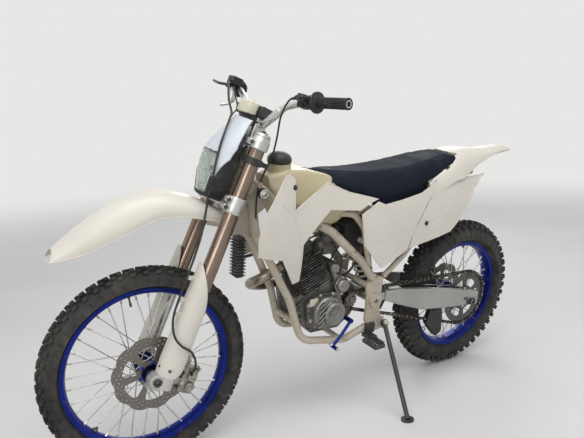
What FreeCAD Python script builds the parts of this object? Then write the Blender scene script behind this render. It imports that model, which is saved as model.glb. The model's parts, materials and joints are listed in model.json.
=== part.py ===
import FreeCAD, Part
import math
import os
import types

import Sketcher
from FreeCAD import Placement, Rotation, Vector

# A full-size off-road motorcycle parked on its side stand.
# Lengths are millimetres, angles are degrees.
# Three frames of reference are used, all with X forward, Y to the left and Z up:
#   bike frame   the machine held upright, origin on the ground under the rear axle
#   fork frame   Z along the steering axis, origin level with the front axle
#   wheel frame  origin at the wheel's centre, Y along its axle

# alias, value, meaning
SIZES = [
    ("wheelbase", 1446, "between the axles, steering straight"),
    ("head_angle", 22.9, "rake of the steering axis from the vertical"),
    ("fork_offset", 22, "fork legs ahead of the steering axis"),
    ("axle_lead", 32.4, "front axle ahead of the fork legs"),
    ("leg_spacing", 206, "between the fork legs"),
    ("lean_angle", 9.73, "lean to the left on the stand"),
    ("steer_rest", -6.7, "steering angle as parked, right of straight"),
    ("front_radius", 347, "front tyre, over the lugs"),
    ("front_width", 82, "front tyre carcass"),
    ("rear_radius", 333, "rear tyre, over the lugs"),
    ("rear_width", 108, "rear tyre carcass"),
    ("front_rim_radius", 280, "front rim, over its flanges"),
    ("rear_rim_radius", 242, "rear rim, over its flanges"),
    ("front_rim_width", 46, "front rim, outside"),
    ("rear_rim_width", 62, "rear rim, outside"),
    ("rim_depth", 22, "rim, flange to the spoke nipples"),
    ("bead_depth", 12.6, "rim, flange to the tyre's bead seat"),
    ("flange_thickness", 5, "rim flanges"),
    ("front_lug", 11, "front lug height"),
    ("rear_lug", 14, "rear lug height"),
    ("front_pitches", 26, "front lugs in a row"),
    ("rear_pitches", 24, "rear lugs in a row"),
    ("hub_radius", 24, "hub barrel"),
    ("hub_flange", 37, "hub flange that holds the spokes"),
    ("hub_half", 34, "hub flanges, from the wheel's middle"),
    ("spoke_radius", 2, "spoke"),
    ("axle_radius", 10, "both axles"),
    ("axle_bore", 6, "hole through both axles"),
    ("running_gap", 0.05, "radial play of a shaft in its bearing"),
    ("seat_gap", 0.3, "play between pieces that seat on each other"),
    ("front_disc_radius", 128, "front brake disc"),
    ("rear_disc_radius", 115, "rear brake disc"),
    ("disc_thickness", 4, "brake discs"),
    ("front_disc_side", 53, "front disc, left of the wheel's middle"),
    ("rear_disc_side", 64, "rear disc, right of the wheel's middle"),
    ("chain_side", 70, "chain line, left of the middle"),
    ("chain_pitch", 15.875, "chain pitch"),
    ("rear_teeth", 48, "rear sprocket"),
    ("front_teeth", 13, "front sprocket"),
    ("stem_radius", 13, "steering stem"),
    ("tube_radius", 27, "upper fork tube"),
    ("slider_radius", 23, "lower fork tube"),
    ("fork_top", 842, "fork caps, above the axle along the steering axis"),
    ("upper_tube_low", 310, "lower end of the upper fork tubes"),
    ("tube_overlap", 142, "lower fork tubes' top, below the fork caps"),
    ("lower_clamp_low", 584, "lower clamp, underside"),
    ("lower_clamp_depth", 46, "lower clamp"),
    ("upper_clamp_low", 795, "upper clamp, underside"),
    ("upper_clamp_depth", 30, "upper clamp"),
    ("head_radius", 26, "head tube"),
    ("head_gap", 7, "between head tube and clamps"),
    ("spar_radius", 16, "frame spars"),
    ("cradle_radius", 14, "down tubes and rails"),
    ("stay_radius", 11, "subframe tubes"),
    ("plate_side", 98, "pivot plates, inner face from the middle"),
    ("plate_thickness", 12, "pivot plates"),
    ("pivot_ahead", 570, "swingarm pivot ahead of the rear axle"),
    ("pivot_height", 453, "swingarm pivot above the ground"),
    ("pivot_bore", 9, "hole through the swingarm pivot shaft"),
    ("pivot_shaft", 13, "swingarm pivot shaft"),
    ("pivot_boss", 27, "boss round the pivot shaft"),
    ("crank_ahead", 777, "crankshaft ahead of the rear axle"),
    ("crank_height", 436, "crankshaft above the ground"),
    ("cylinder_tilt", 21, "cylinder, forward of the vertical"),
    ("cylinder_low", 104, "cylinder base above the crankshaft"),
    ("fin_pitch", 10.5, "cooling fins"),
    ("fin_thickness", 3, "cooling fins"),
    ("fin_half_length", 64, "cooling fins, fore and aft"),
    ("fin_half_width", 70, "cooling fins, to each side"),
    ("panel_thickness", 3, "moulded plastic panels"),
    ("stand_ahead", 522, "stand pivot ahead of the rear axle"),
    ("stand_side", 132, "stand pivot left of the middle"),
    ("stand_height", 354, "stand pivot above the ground"),
    ("foot_ahead", 566, "stand foot ahead of the rear axle"),
    ("foot_side", 352, "stand foot left of the middle, bike upright"),
    ("stand_radius", 9, "stand leg"),
    ("stand_bolt", 6, "bolt that the stand swings on"),
    ("bar_radius", 11, "handlebar ends"),
    ("bar_middle_radius", 14, "handlebar in its clamps"),
    ("bar_bore", 8, "handlebar, inside"),
    ("grip_radius", 16, "hand grips"),
    ("grip_length", 128, "hand grips"),
    ("bar_half", 402, "handlebar, half its width"),
]

doc = FreeCAD.newDocument("dirt_bike")
sheet = doc.addObject("Spreadsheet::Sheet", "Sizes")
for row, (alias, amount, meaning) in enumerate(SIZES, start=1):
    sheet.set(f"A{row}", alias)
    sheet.set(f"B{row}", str(amount))
    sheet.setAlias(f"B{row}", alias)
    sheet.set(f"C{row}", meaning)
doc.recompute()
size = types.SimpleNamespace(**{alias: float(sheet.get(alias)) for alias, _, _ in SIZES})

MIDDLE = Vector(0, 0, 0)
FORWARD = Vector(1, 0, 0)
LEFT = Vector(0, 1, 0)
UP = Vector(0, 0, 1)


# Points and plain shapes

def unit(vector):
    return Vector(vector).normalize()


def side_points(rows, side):
    """Points of a side view, given as (ahead, height) rows, on the plane at one distance to the left."""
    return [Vector(ahead, side, height) for ahead, height in rows]


def rounded_path(points, radius=None):
    """Straight runs joined by tangent arcs, as large as the runs allow where no radius is given."""
    edges = []
    start = points[0]
    for before, corner, after in zip(points, points[1:], points[2:]):
        back = before - corner
        ahead = after - corner
        half_turn = (math.pi - back.getAngle(ahead)) / 2
        limit = 0.45 * min(back.Length, ahead.Length) / math.tan(half_turn)
        bend = min(radius, limit) if radius else limit
        trim = bend * math.tan(half_turn)
        enter = corner + unit(back) * trim
        leave = corner + unit(ahead) * trim
        middle = corner + unit(unit(back) + unit(ahead)) * (bend / math.cos(half_turn) - bend)
        edges.append(Part.LineSegment(start, enter).toShape())
        edges.append(Part.Arc(enter, middle, leave).toShape())
        start = leave
    edges.append(Part.LineSegment(start, points[-1]).toShape())
    return Part.Wire(edges)


def tube(points, radius, bend=None):
    """A round bar along a path of straight runs and arcs."""
    path = rounded_path(points, bend)
    section = Part.Wire(Part.makeCircle(radius, points[0], points[1] - points[0]))
    return path.makePipeShell([section], True, False)


def rounded_outline(points, radius):
    """A closed wire whose corners are arcs of one radius, or less where an edge is short."""
    edges = []
    first = None
    last = None
    count = len(points)
    for index, corner in enumerate(points):
        back = points[index - 1] - corner
        ahead = points[(index + 1) % count] - corner
        half_turn = (math.pi - back.getAngle(ahead)) / 2
        trim = min(radius * math.tan(half_turn), 0.45 * min(back.Length, ahead.Length))
        bend = trim / math.tan(half_turn)
        enter = corner + unit(back) * trim
        leave = corner + unit(ahead) * trim
        middle = corner + unit(unit(back) + unit(ahead)) * (bend / math.cos(half_turn) - bend)
        if last is None:
            first = enter
        else:
            edges.append(Part.LineSegment(last, enter).toShape())
        edges.append(Part.Arc(enter, middle, leave).toShape())
        last = leave
    edges.append(Part.LineSegment(last, first).toShape())
    return Part.Wire(edges)


def slab(rows, inner, outer, radius=0):
    """A side-view outline of (ahead, height) rows, thick from one side distance to another."""
    points = side_points(rows, inner)
    if radius:
        wire = rounded_outline(points, radius)
    else:
        wire = Part.makePolygon(points + points[:1])
    return Part.Face(wire).extrude(Vector(0, outer - inner, 0))


def rod(start, end, radius):
    return Part.makeCylinder(radius, (end - start).Length, start, end - start)


def pipe(start, end, radius, bore):
    return rod(start, end, radius).cut(rod(start, end, bore))


def block(low, high):
    span = high - low
    return Part.makeBox(span.x, span.y, span.z, low)


def spun(rows, axis_point, axis):
    """A turned solid from (distance along the axis, radius) rows."""
    across = unit(axis.cross(UP)) if abs(unit(axis).z) < 0.9 else unit(axis.cross(FORWARD))
    points = [axis_point + unit(axis) * along + across * radius for along, radius in rows]
    face = Part.Face(Part.makePolygon(points + points[:1]))
    return face.revolve(axis_point, axis, 360)


def mirrored(shape):
    return shape.mirror(MIDDLE, LEFT)


def pair(shape):
    """A piece and its mirror image, which don't touch."""
    return Part.makeCompound([shape, mirrored(shape)])


def fused(*shapes):
    return shapes[0].multiFuse(list(shapes[1:])).removeSplitter()


def curve(points):
    spline = Part.BSplineCurve()
    spline.interpolate(points)
    return spline.toShape()


def wall_section(outer, inner):
    """A closed wire: two smooth curves, and the straight edges between their ends."""
    return Part.Wire([curve(outer), Part.LineSegment(outer[-1], inner[-1]).toShape(),
                      curve(list(reversed(inner))), Part.LineSegment(inner[0], outer[0]).toShape()])


def skin(sections, thickness):
    """A thin wall through cross-sections (ahead, [(height, side), ...]), its outer face as given."""
    wires = []
    for ahead, rows in sections:
        outer = [Vector(ahead, side, height) for height, side in rows]
        wires.append(wall_section(outer, [point - Vector(0, thickness, 0) for point in outer]))
    return Part.makeLoft(wires, True, False)


def arch(sections, thickness):
    """A thin wall over cross-sections (ahead, [(side, height), ...]) of the left half, mirrored."""
    wires = []
    for ahead, rows in sections:
        left = [Vector(ahead, side, height) for side, height in rows]
        right = [Vector(ahead, -side, height) for side, height in reversed(rows) if side > 0]
        outer = left + right
        focus = Vector(ahead, 0, left[0].z - left[0].y / 2)
        inner = [point + unit(focus - point) * thickness for point in outer]
        wires.append(wall_section(outer, inner))
    return Part.makeLoft(wires, True, False)


# Document objects

PARTS = []


def keep(label, shape, place):
    """A sub-part whose form is made in code from the sheet's sizes."""
    feature = doc.addObject("Part::Feature", label)
    feature.Shape = shape
    feature.Placement = place.multiply(feature.Placement)
    feature.Label = label
    PARTS.append(feature)
    return feature


def new_body(label):
    body = doc.addObject("PartDesign::Body", label)
    body.Label = label
    return body


def origin_plane(body, role):
    return next(plane for plane in body.Origin.OriginFeatures if plane.Role == role)


def constrain(sketch, kind, elements, amount):
    """A dimension of a sketch: a number, or a formula in the sheet's sizes."""
    index = sketch.addConstraint(Sketcher.Constraint(kind, *elements, 1.0))
    if isinstance(amount, str):
        sketch.setExpression(f"Constraints[{index}]", amount)
    else:
        sketch.setDatum(index, FreeCAD.Units.Quantity(amount, FreeCAD.Units.Length))


def sketch_on(body, role, name):
    sketch = body.newObject("Sketcher::SketchObject", name)
    sketch.AttachmentSupport = (origin_plane(body, role), [""])
    sketch.MapMode = "FlatFace"
    return sketch


def draw_polygon(sketch, rows):
    """A closed outline whose corners are each set by two dimensions from the sketch's origin."""
    count = len(rows)
    guess = [Vector(100 * math.cos(2 * math.pi * i / count), 100 * math.sin(2 * math.pi * i / count), 0)
             for i in range(count)]
    lines = [sketch.addGeometry(Part.LineSegment(guess[i], guess[(i + 1) % count])) for i in range(count)]
    for i in range(count):
        sketch.addConstraint(Sketcher.Constraint("Coincident", lines[i - 1], 2, lines[i], 1))
    for line, (across, along) in zip(lines, rows):
        constrain(sketch, "DistanceX", (-1, 1, line, 1), across)
        constrain(sketch, "DistanceY", (-1, 1, line, 1), along)


def draw_circle(sketch, across, along, radius):
    circle = sketch.addGeometry(Part.Circle(Vector(10, 10, 0), UP, 10))
    constrain(sketch, "DistanceX", (-1, 1, circle, 3), across)
    constrain(sketch, "DistanceY", (-1, 1, circle, 3), along)
    constrain(sketch, "Radius", (circle,), radius)


def turned_body(label, rows, place):
    """A body of revolution about the wheel axis, from (along the axle, radius) formulas."""
    body = new_body(label)
    sketch = sketch_on(body, "YZ_Plane", label + "_profile")
    draw_polygon(sketch, rows)
    turn = body.newObject("PartDesign::Revolution", label + "_turn")
    turn.Profile = sketch
    turn.ReferenceAxis = (sketch, ["H_Axis"])
    turn.Angle = 360
    body.Tip = turn
    body.Placement = place
    PARTS.append(body)
    return body


# Tyres come first, because where their lugs touch the ground sets the whole machine's attitude.
# Lug rows: angles round the crown where a row begins and ends, and 0 or 1 for its stagger

FRONT_LUG_ROWS = [(26, 50, 1), (-13, 13, 0), (-50, -26, 1)]
REAR_LUG_ROWS = [(30, 56, 1), (3, 20, 0), (-20, -3, 0), (-56, -30, 1)]
cavity_facets = 20
tyre_wall = 7


def facet_solid(stations, angles, raised=()):
    """A solid of flat facets round the wheel axis, with some of its facets raised as lugs.

    stations: (side, radius) from the left cap to the right one; angles: where facets meet.
    raised: (station, stagger, rise to the side, rise outward) for a row of lugs.
    """
    turns = [(math.sin(angle), math.cos(angle)) for angle in angles]
    count = len(turns)

    def corner(station, segment, rise=(0, 0)):
        across, along = turns[segment % count]
        side, radius = stations[station]
        return Vector((radius + rise[1]) * across, side + rise[0], (radius + rise[1]) * along)

    def facet(*corners):
        return Part.Face(Part.makePolygon(list(corners) + [corners[0]]))

    rows = {station: (stagger, rise) for station, stagger, rise in raised}
    faces = [facet(*[corner(end, segment) for segment in range(count)]) for end in (0, len(stations) - 1)]
    for station in range(len(stations) - 1):
        stagger, rise = rows.get(station, (None, None))
        for segment in range(count):
            low = [corner(station, segment), corner(station, segment + 1),
                   corner(station + 1, segment + 1), corner(station + 1, segment)]
            if stagger is None or segment % 2 != stagger:
                faces.append(facet(*low))
                continue
            high = [corner(station, segment, rise), corner(station, segment + 1, rise),
                    corner(station + 1, segment + 1, rise), corner(station + 1, segment, rise)]
            faces.append(facet(*high))
            for edge in range(4):
                after = (edge + 1) % 4
                faces.append(facet(low[edge], low[after], high[after], high[edge]))
    shell = Part.makeShell(faces)
    shell.sewShape()
    solid = Part.makeSolid(shell)
    if solid.Volume < 0:
        solid.reverse()
    return solid


def tyre_shape(outer, width, rim_radius, rim_width, lug, pitches, lug_rows):
    """A hollow carcass, its beads between the rim's flanges, with lugs standing out of its crown."""
    bead_half = rim_width / 2 - size.flange_thickness - size.seat_gap
    crown = width * 0.53
    crown_centre = outer - crown
    base = crown - lug
    belly = (crown_centre + rim_radius) / 2
    segments = 2 * pitches
    facet_swell = 1 / math.cos(math.pi / segments)
    flange_swell = 1 / math.cos(math.pi / cavity_facets)

    def on_crown(angle):
        turn = math.radians(angle)
        return (base * math.sin(turn), crown_centre + base * math.cos(turn))

    stations = [(bead_half, (rim_radius + 1) * facet_swell), (width / 2, belly)]
    raised = []
    for high_angle, low_angle, stagger in [(max(row[:2]), min(row[:2]), row[2]) for row in lug_rows]:
        middle = math.radians((high_angle + low_angle) / 2)
        raised.append((len(stations), stagger, (lug * math.sin(middle), lug * math.cos(middle))))
        stations.extend([on_crown(high_angle), on_crown(low_angle)])
    stations.extend([(-width / 2, belly), (-bead_half, (rim_radius + 1) * facet_swell)])
    angles = [2 * math.pi * index / segments for index in range(segments)]
    body = facet_solid(stations, angles, raised)
    bead = (rim_radius - size.bead_depth + size.seat_gap) * flange_swell
    left = [(bead_half + 1, bead), (bead_half - tyre_wall, bead),
            (bead_half - tyre_wall, rim_radius + tyre_wall + 2), (width / 2 - tyre_wall, belly + tyre_wall)]
    inside = left + [(0, crown_centre + base - 1.6 * tyre_wall)]
    inside += [(-side, radius) for side, radius in reversed(left)]
    cavity_angles = [2 * math.pi * index / cavity_facets for index in range(cavity_facets)]
    return body.cut(facet_solid(inside, cavity_angles))


front_tyre = tyre_shape(size.front_radius, size.front_width, size.front_rim_radius,
                        size.front_rim_width, size.front_lug, int(size.front_pitches), FRONT_LUG_ROWS)
rear_tyre = tyre_shape(size.rear_radius, size.rear_width, size.rear_rim_radius,
                       size.rear_rim_width, size.rear_lug, int(size.rear_pitches), REAR_LUG_ROWS)


# Attitude: lean, then pitch until both tyres touch the ground

rake = math.radians(size.head_angle)
steering_up = Vector(-math.sin(rake), 0, math.cos(rake))
steering_forward = Vector(math.cos(rake), 0, math.sin(rake))
axle_ahead = size.fork_offset + size.axle_lead
leg_side = size.leg_spacing / 2
rear_axle = Vector(0, 0, size.rear_radius)
front_axle = Vector(size.wheelbase, 0, size.front_radius)
steering_foot = front_axle - steering_forward * axle_ahead
fork_frame = Placement(steering_foot, Rotation(steering_forward, LEFT, steering_up, "ZXY"))
fork_frame = fork_frame.multiply(Placement(MIDDLE, Rotation(UP, size.steer_rest)))
front_axle_parked = fork_frame.multVec(Vector(axle_ahead, 0, 0))


def lowest(shape, rotation):
    return min(rotation.multVec(vertex.Point).z for vertex in shape.Vertexes)


def parked_placement():
    pitch = 0
    for _ in range(6):
        turn = Rotation(LEFT, pitch).multiply(Rotation(FORWARD, -size.lean_angle))
        rear_low = turn.multVec(rear_axle).z + lowest(rear_tyre, turn)
        front_turn = turn.multiply(fork_frame.Rotation)
        front_low = turn.multVec(front_axle_parked).z + lowest(front_tyre, front_turn)
        pitch += math.degrees((front_low - rear_low) / size.wheelbase)
    return Placement(Vector(0, 0, -rear_low), turn)


BIKE = parked_placement()
FORK = BIKE.multiply(fork_frame)
FRONT_WHEEL = FORK.multiply(Placement(Vector(axle_ahead, 0, 0), Rotation()))
REAR_WHEEL = BIKE.multiply(Placement(rear_axle, Rotation()))

keep("front_tyre", front_tyre, FRONT_WHEEL)
keep("rear_tyre", rear_tyre, REAR_WHEEL)


# Wheels

def rim(label, name, place):
    """A rim section: two flanges, a bead seat and a drop centre."""
    half = f"Sizes.{name}_rim_width / 2"
    radius = f"Sizes.{name}_rim_radius"
    rows = [
        (half, radius),
        (f"{half} - Sizes.flange_thickness + 1", radius),
        (f"{half} - Sizes.flange_thickness", f"{radius} - Sizes.bead_depth"),
        (f"{half} * 0.45", f"{radius} - Sizes.bead_depth - 2"),
        (0, f"{radius} - Sizes.bead_depth - 5"),
        (f"-{half} * 0.45", f"{radius} - Sizes.bead_depth - 2"),
        (f"Sizes.flange_thickness - {half}", f"{radius} - Sizes.bead_depth"),
        (f"Sizes.flange_thickness - 1 - {half}", radius),
        (f"-{half}", radius),
        (f"-{half} * 0.9", f"{radius} - 15"),
        (f"-{half} * 0.3", f"{radius} - Sizes.rim_depth"),
        (f"{half} * 0.3", f"{radius} - Sizes.rim_depth"),
        (f"{half} * 0.9", f"{radius} - 15"),
    ]
    return turned_body(label, rows, place)


def hub(label, place):
    """A barrel with two spoke flanges and a bearing bore."""
    bore = "Sizes.axle_radius + Sizes.running_gap"
    rows = [
        ("Sizes.hub_half + 12", bore),
        ("Sizes.hub_half + 12", "Sizes.hub_radius - 4"),
        ("Sizes.hub_half + 3", "Sizes.hub_radius"),
        ("Sizes.hub_half + 3", "Sizes.hub_flange"),
        ("Sizes.hub_half - 3", "Sizes.hub_flange"),
        ("Sizes.hub_half - 6", "Sizes.hub_radius"),
        ("6 - Sizes.hub_half", "Sizes.hub_radius"),
        ("3 - Sizes.hub_half", "Sizes.hub_flange"),
        ("-Sizes.hub_half - 3", "Sizes.hub_flange"),
        ("-Sizes.hub_half - 3", "Sizes.hub_radius"),
        ("-Sizes.hub_half - 12", "Sizes.hub_radius - 4"),
        ("-Sizes.hub_half - 12", bore),
    ]
    return turned_body(label, rows, place)


def spokes(label, rim_radius, place):
    """Crossed spokes from the flanges to the rim, nine leading and nine trailing on each side."""
    outer = rim_radius - size.rim_depth - size.seat_gap - 0.4
    inner = size.hub_flange + size.spoke_radius + size.seat_gap
    wires = []
    count = 36
    cross = 70
    for index in range(count):
        side = 1 if index % 2 else -1
        lead = 1 if index % 4 < 2 else -1
        angle = 360 * index / count
        foot_angle = math.radians(angle + lead * cross)
        head_angle = math.radians(angle)
        foot = Vector(inner * math.sin(foot_angle), side * (size.hub_half + lead * 1.5),
                      inner * math.cos(foot_angle))
        head = Vector(outer * math.sin(head_angle), side * 5, outer * math.cos(head_angle))
        along = head - foot
        section = Part.makeCircle(size.spoke_radius, foot, along)
        corners = section.discretize(Number=7)
        wire = Part.makePolygon(corners[:-1] + corners[:1])
        wires.append(Part.Face(wire).extrude(along))
    return keep(label, Part.makeCompound(wires), place)


disc_band = 34


def disc_ring(label, radius_name, side):
    """A drilled ring with a scalloped rim."""
    radius = f"Sizes.{radius_name}"
    body = new_body(label)
    sketch = sketch_on(body, "XZ_Plane", label + "_ring")
    draw_circle(sketch, 0, 0, radius)
    draw_circle(sketch, 0, 0, f"{radius} - {disc_band}")
    pad = body.newObject("PartDesign::Pad", label + "_pad")
    pad.Profile = sketch
    pad.setExpression("Length", "Sizes.disc_thickness")
    pad.Midplane = True
    bite = sketch_on(body, "XZ_Plane", label + "_bite")
    draw_circle(bite, 0, f"{radius} + 7", 14)
    draw_circle(bite, 0, f"{radius} - 19", 5)
    doc.recompute()
    pocket = body.newObject("PartDesign::Pocket", label + "_scallop")
    pocket.Profile = bite
    pocket.Type = "ThroughAll"
    pocket.Midplane = True
    pattern = body.newObject("PartDesign::PolarPattern", label + "_scallops")
    pattern.Originals = [pocket]
    pattern.Axis = (sketch, ["N_Axis"])
    pattern.Angle = 360
    pattern.Occurrences = 12
    body.Tip = pattern
    body.Placement = Placement(Vector(0, side, 0), Rotation())
    return body


def disc_carrier(disc_radius, side):
    """The spider between hub and disc ring."""
    reach = disc_radius - disc_band + 2
    sign = 1 if side > 0 else -1
    hub_face = sign * (size.hub_half + 3)
    face = side + sign * size.disc_thickness / 2
    ring = pipe(Vector(0, hub_face, 0), Vector(0, face, 0), size.hub_flange - 3, size.hub_radius + 1)
    arms = []
    inside = rod(Vector(0, side - 20, 0), Vector(0, side + 20, 0), reach)
    for index in range(6):
        arm = block(Vector(-9, side - size.disc_thickness / 2, size.hub_flange - 6),
                    Vector(9, side + size.disc_thickness / 2, reach + 5))
        arm = arm.common(inside)
        arm.rotate(MIDDLE, LEFT, 60 * index)
        arms.append(arm)
    return fused(ring, *arms)


def brake_disc(label, radius_name, side, place):
    """The scalloped ring and the spider that carries it from the hub."""
    ring = disc_ring(label + "_ring", radius_name, side)
    doc.recompute()
    spider = disc_carrier(getattr(size, radius_name), side)
    return keep(label, fused(ring.Shape, spider), place)


rim("front_rim", "front", FRONT_WHEEL)
rim("rear_rim", "rear", REAR_WHEEL)
hub("front_hub", FRONT_WHEEL)
hub("rear_hub", REAR_WHEEL)
spokes("front_spokes", size.front_rim_radius, FRONT_WHEEL)
spokes("rear_spokes", size.rear_rim_radius, REAR_WHEEL)
brake_disc("front_disc", "front_disc_radius", size.front_disc_side, FRONT_WHEEL)
brake_disc("rear_disc", "rear_disc_radius", -size.rear_disc_side, REAR_WHEEL)


# Final drive

def pitch_radius(teeth):
    return size.chain_pitch / (2 * math.sin(math.pi / teeth))


rear_pitch = pitch_radius(size.rear_teeth)
front_pitch = pitch_radius(size.front_teeth)
sprocket_thickness = 5
roller_radius = 5
front_sprocket_centre = Vector(650, 0, 452)


def sprocket_face(teeth, radius, clearance):
    """A toothed outline whose tips stay inside the rollers."""
    tip = radius - roller_radius - clearance
    root = tip - 5
    points = []
    for index in range(int(teeth)):
        start = 2 * math.pi * index / teeth
        step = 2 * math.pi / teeth
        for share, reach in ((0.0, root), (0.3, root), (0.5, tip), (0.8, tip)):
            turn = start + share * step
            points.append(Vector(reach * math.sin(turn), 0, reach * math.cos(turn)))
    return Part.Face(Part.makePolygon(points + points[:1]))


def rear_sprocket():
    plate = sprocket_face(size.rear_teeth, rear_pitch, 1.0).extrude(Vector(0, sprocket_thickness, 0))
    plate.translate(Vector(0, size.chain_side - sprocket_thickness / 2, 0))
    inner = size.chain_side - sprocket_thickness / 2
    outer = size.chain_side + sprocket_thickness / 2
    windows = []
    for index in range(6):
        window = rod(Vector(0, inner - 1, 74), Vector(0, outer + 1, 74), 20)
        window.rotate(MIDDLE, LEFT, 60 * index)
        windows.append(window)
    plate = plate.cut(Part.makeCompound(windows))
    carrier = rod(Vector(0, size.hub_half + 3, 0), Vector(0, inner, 0), size.hub_flange - 1)
    flange = rod(Vector(0, inner - 8, 0), Vector(0, inner, 0), size.hub_flange + 10)
    bore = rod(Vector(0, 0, 0), Vector(0, 2 * size.chain_side, 0), size.hub_radius + 1)
    return keep("rear_sprocket", fused(plate, carrier, flange).cut(bore), REAR_WHEEL)


def front_sprocket():
    """The small sprocket on the gearbox shaft."""
    plate = sprocket_face(size.front_teeth, front_pitch, 1.0).extrude(Vector(0, sprocket_thickness, 0))
    shaft = rod(Vector(0, -24, 0), Vector(0, 10, 0), 11)
    shape = fused(plate, shaft)
    shape.translate(front_sprocket_centre + Vector(0, size.chain_side - sprocket_thickness / 2, 0))
    return shape


def run_ends(sign):
    """Where the upper (+1) or lower (-1) run leaves the rear and the front sprocket."""
    far = front_sprocket_centre - rear_axle
    slope = math.atan2(far.z, far.x)
    spread = math.asin((rear_pitch - front_pitch) / far.Length)
    turn = slope + sign * (math.pi / 2 - spread)
    way = Vector(math.cos(turn), 0, math.sin(turn))
    return rear_axle + way * rear_pitch, front_sprocket_centre + way * front_pitch


def chain_loop():
    """Points of the pitch line at every roller: a wrap, the lower run, a wrap and the upper run."""
    far = front_sprocket_centre - rear_axle
    distance = far.Length
    slope = math.atan2(far.z, far.x)
    spread = math.asin((rear_pitch - front_pitch) / distance)
    straight = math.sqrt(distance ** 2 - (rear_pitch - front_pitch) ** 2)
    rear_wrap = math.pi + 2 * spread
    front_wrap = math.pi - 2 * spread
    total = 2 * straight + rear_pitch * rear_wrap + front_pitch * front_wrap
    links = 2 * round(total / size.chain_pitch / 2)
    step = total / links
    upper = slope + math.pi / 2 - spread
    lower = slope - math.pi / 2 + spread
    points = []
    for index in range(links):
        travel = index * step
        if travel < straight:
            start, end = run_ends(1)
            points.append(start + (end - start) * (travel / straight))
            continue
        travel -= straight
        if travel < front_pitch * front_wrap:
            turn = upper - travel / front_pitch
            points.append(front_sprocket_centre + Vector(math.cos(turn), 0, math.sin(turn)) * front_pitch)
            continue
        travel -= front_pitch * front_wrap
        if travel < straight:
            end, start = run_ends(-1)
            points.append(start + (end - start) * (travel / straight))
            continue
        travel -= straight
        turn = lower - travel / rear_pitch
        points.append(rear_axle + Vector(math.cos(turn), 0, math.sin(turn)) * rear_pitch)
    return points


chain_half_width = 7.2
plate_gap = 4.2
plate_height = 6.5
plate_waist = 1.5
pin_every = 8


def chain():
    """Two rings of link plates, wide at every second roller, joined by square pins."""
    rollers = chain_loop()
    count = len(rollers)
    across = [unit(rollers[(index + 1) % count] - rollers[index - 1]) for index in range(count)]
    away = [Vector(-along.z, 0, along.x) for along in across]
    outline = []
    for index, point in enumerate(rollers):
        height = plate_height if index % 2 else plate_height - plate_waist
        outline.append(point + away[index] * height)
    hole = [rollers[index] - away[index] * (plate_height - plate_waist) for index in range(0, count, 2)]
    plate = Part.Face(Part.makePolygon(outline + outline[:1]))
    plate = plate.cut(Part.Face(Part.makePolygon(hole + hole[:1])))
    depth = Vector(0, chain_half_width - plate_gap, 0)
    left = plate.extrude(depth)
    left.translate(Vector(0, size.chain_side + plate_gap, 0))
    right = plate.extrude(depth)
    right.translate(Vector(0, size.chain_side - chain_half_width, 0))
    pins = []
    for index in range(0, count, pin_every):
        low = rollers[index] + Vector(-2, size.chain_side - plate_gap, -2)
        pins.append(block(low, low + Vector(4, 2 * plate_gap, 4)))
    return keep("chain", left.multiFuse([right] + pins), BIKE)


rear_sprocket()
chain()


# Main frame

head_low = size.lower_clamp_low + size.lower_clamp_depth + size.head_gap
head_high = size.upper_clamp_low - size.head_gap
straight_fork = Placement(steering_foot, Rotation(steering_forward, LEFT, steering_up, "ZXY"))


def on_head(along, ahead=0, side=0):
    """A point near the steering axis, in the bike frame."""
    return straight_fork.multVec(Vector(ahead, side, along))


pivot = Vector(size.pivot_ahead, 0, size.pivot_height)
plate_outer = size.plate_side + size.plate_thickness
plate_middle = size.plate_side + size.plate_thickness / 2
PLATE_OUTLINE = [(614, 524), (560, 548), (530, 540), (537, 470), (534, 400), (512, 352), (520, 322),
                 (545, 318), (580, 335), (604, 372), (602, 420), (604, 470)]
SPAR_ROUTE = [(958, 56, 852), (788, 94, 752), (635, 99, 613), (566, 103, 520)]
BRACE_ROUTE = [(800, 72, 818), (690, 92, 806), (640, 98, 745), (606, 102, 600)]
DOWN_ROUTE = [(1066, 32, 760), (933, 62, 506), (880, 74, 338), (690, 92, 306), (545, 96, 352)]
RAIL_ROUTE = [(676, 88, 809), (560, 76, 822), (330, 72, 868), (60, 66, 906)]
LOWER_STAY_ROUTE = [(528, 104, 540), (440, 108, 611), (150, 72, 884)]


def route(rows):
    return [Vector(*row) for row in rows]


head_bore = size.stem_radius + size.running_gap
head_bottom = on_head(head_low)
head_top = on_head(head_high)
stand_pivot = Vector(size.stand_ahead, size.stand_side, size.stand_height)


def stand_directions():
    """The leg's run to the ground, and the axis that folds it back beside the swingarm."""
    up_in_bike = BIKE.Rotation.inverted().multVec(UP)
    ground = BIKE.inverse().multVec(MIDDLE)
    foot = Vector(size.foot_ahead, size.foot_side, 0)
    foot.z = -((foot - ground).dot(up_in_bike)) / up_in_bike.z
    along = foot - stand_pivot
    folded = Vector(-1, 0.08, 0.12)
    return foot, up_in_bike, unit(along.cross(folded))


stand_foot, ground_up, stand_axis = stand_directions()


guide_height = 700


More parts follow.
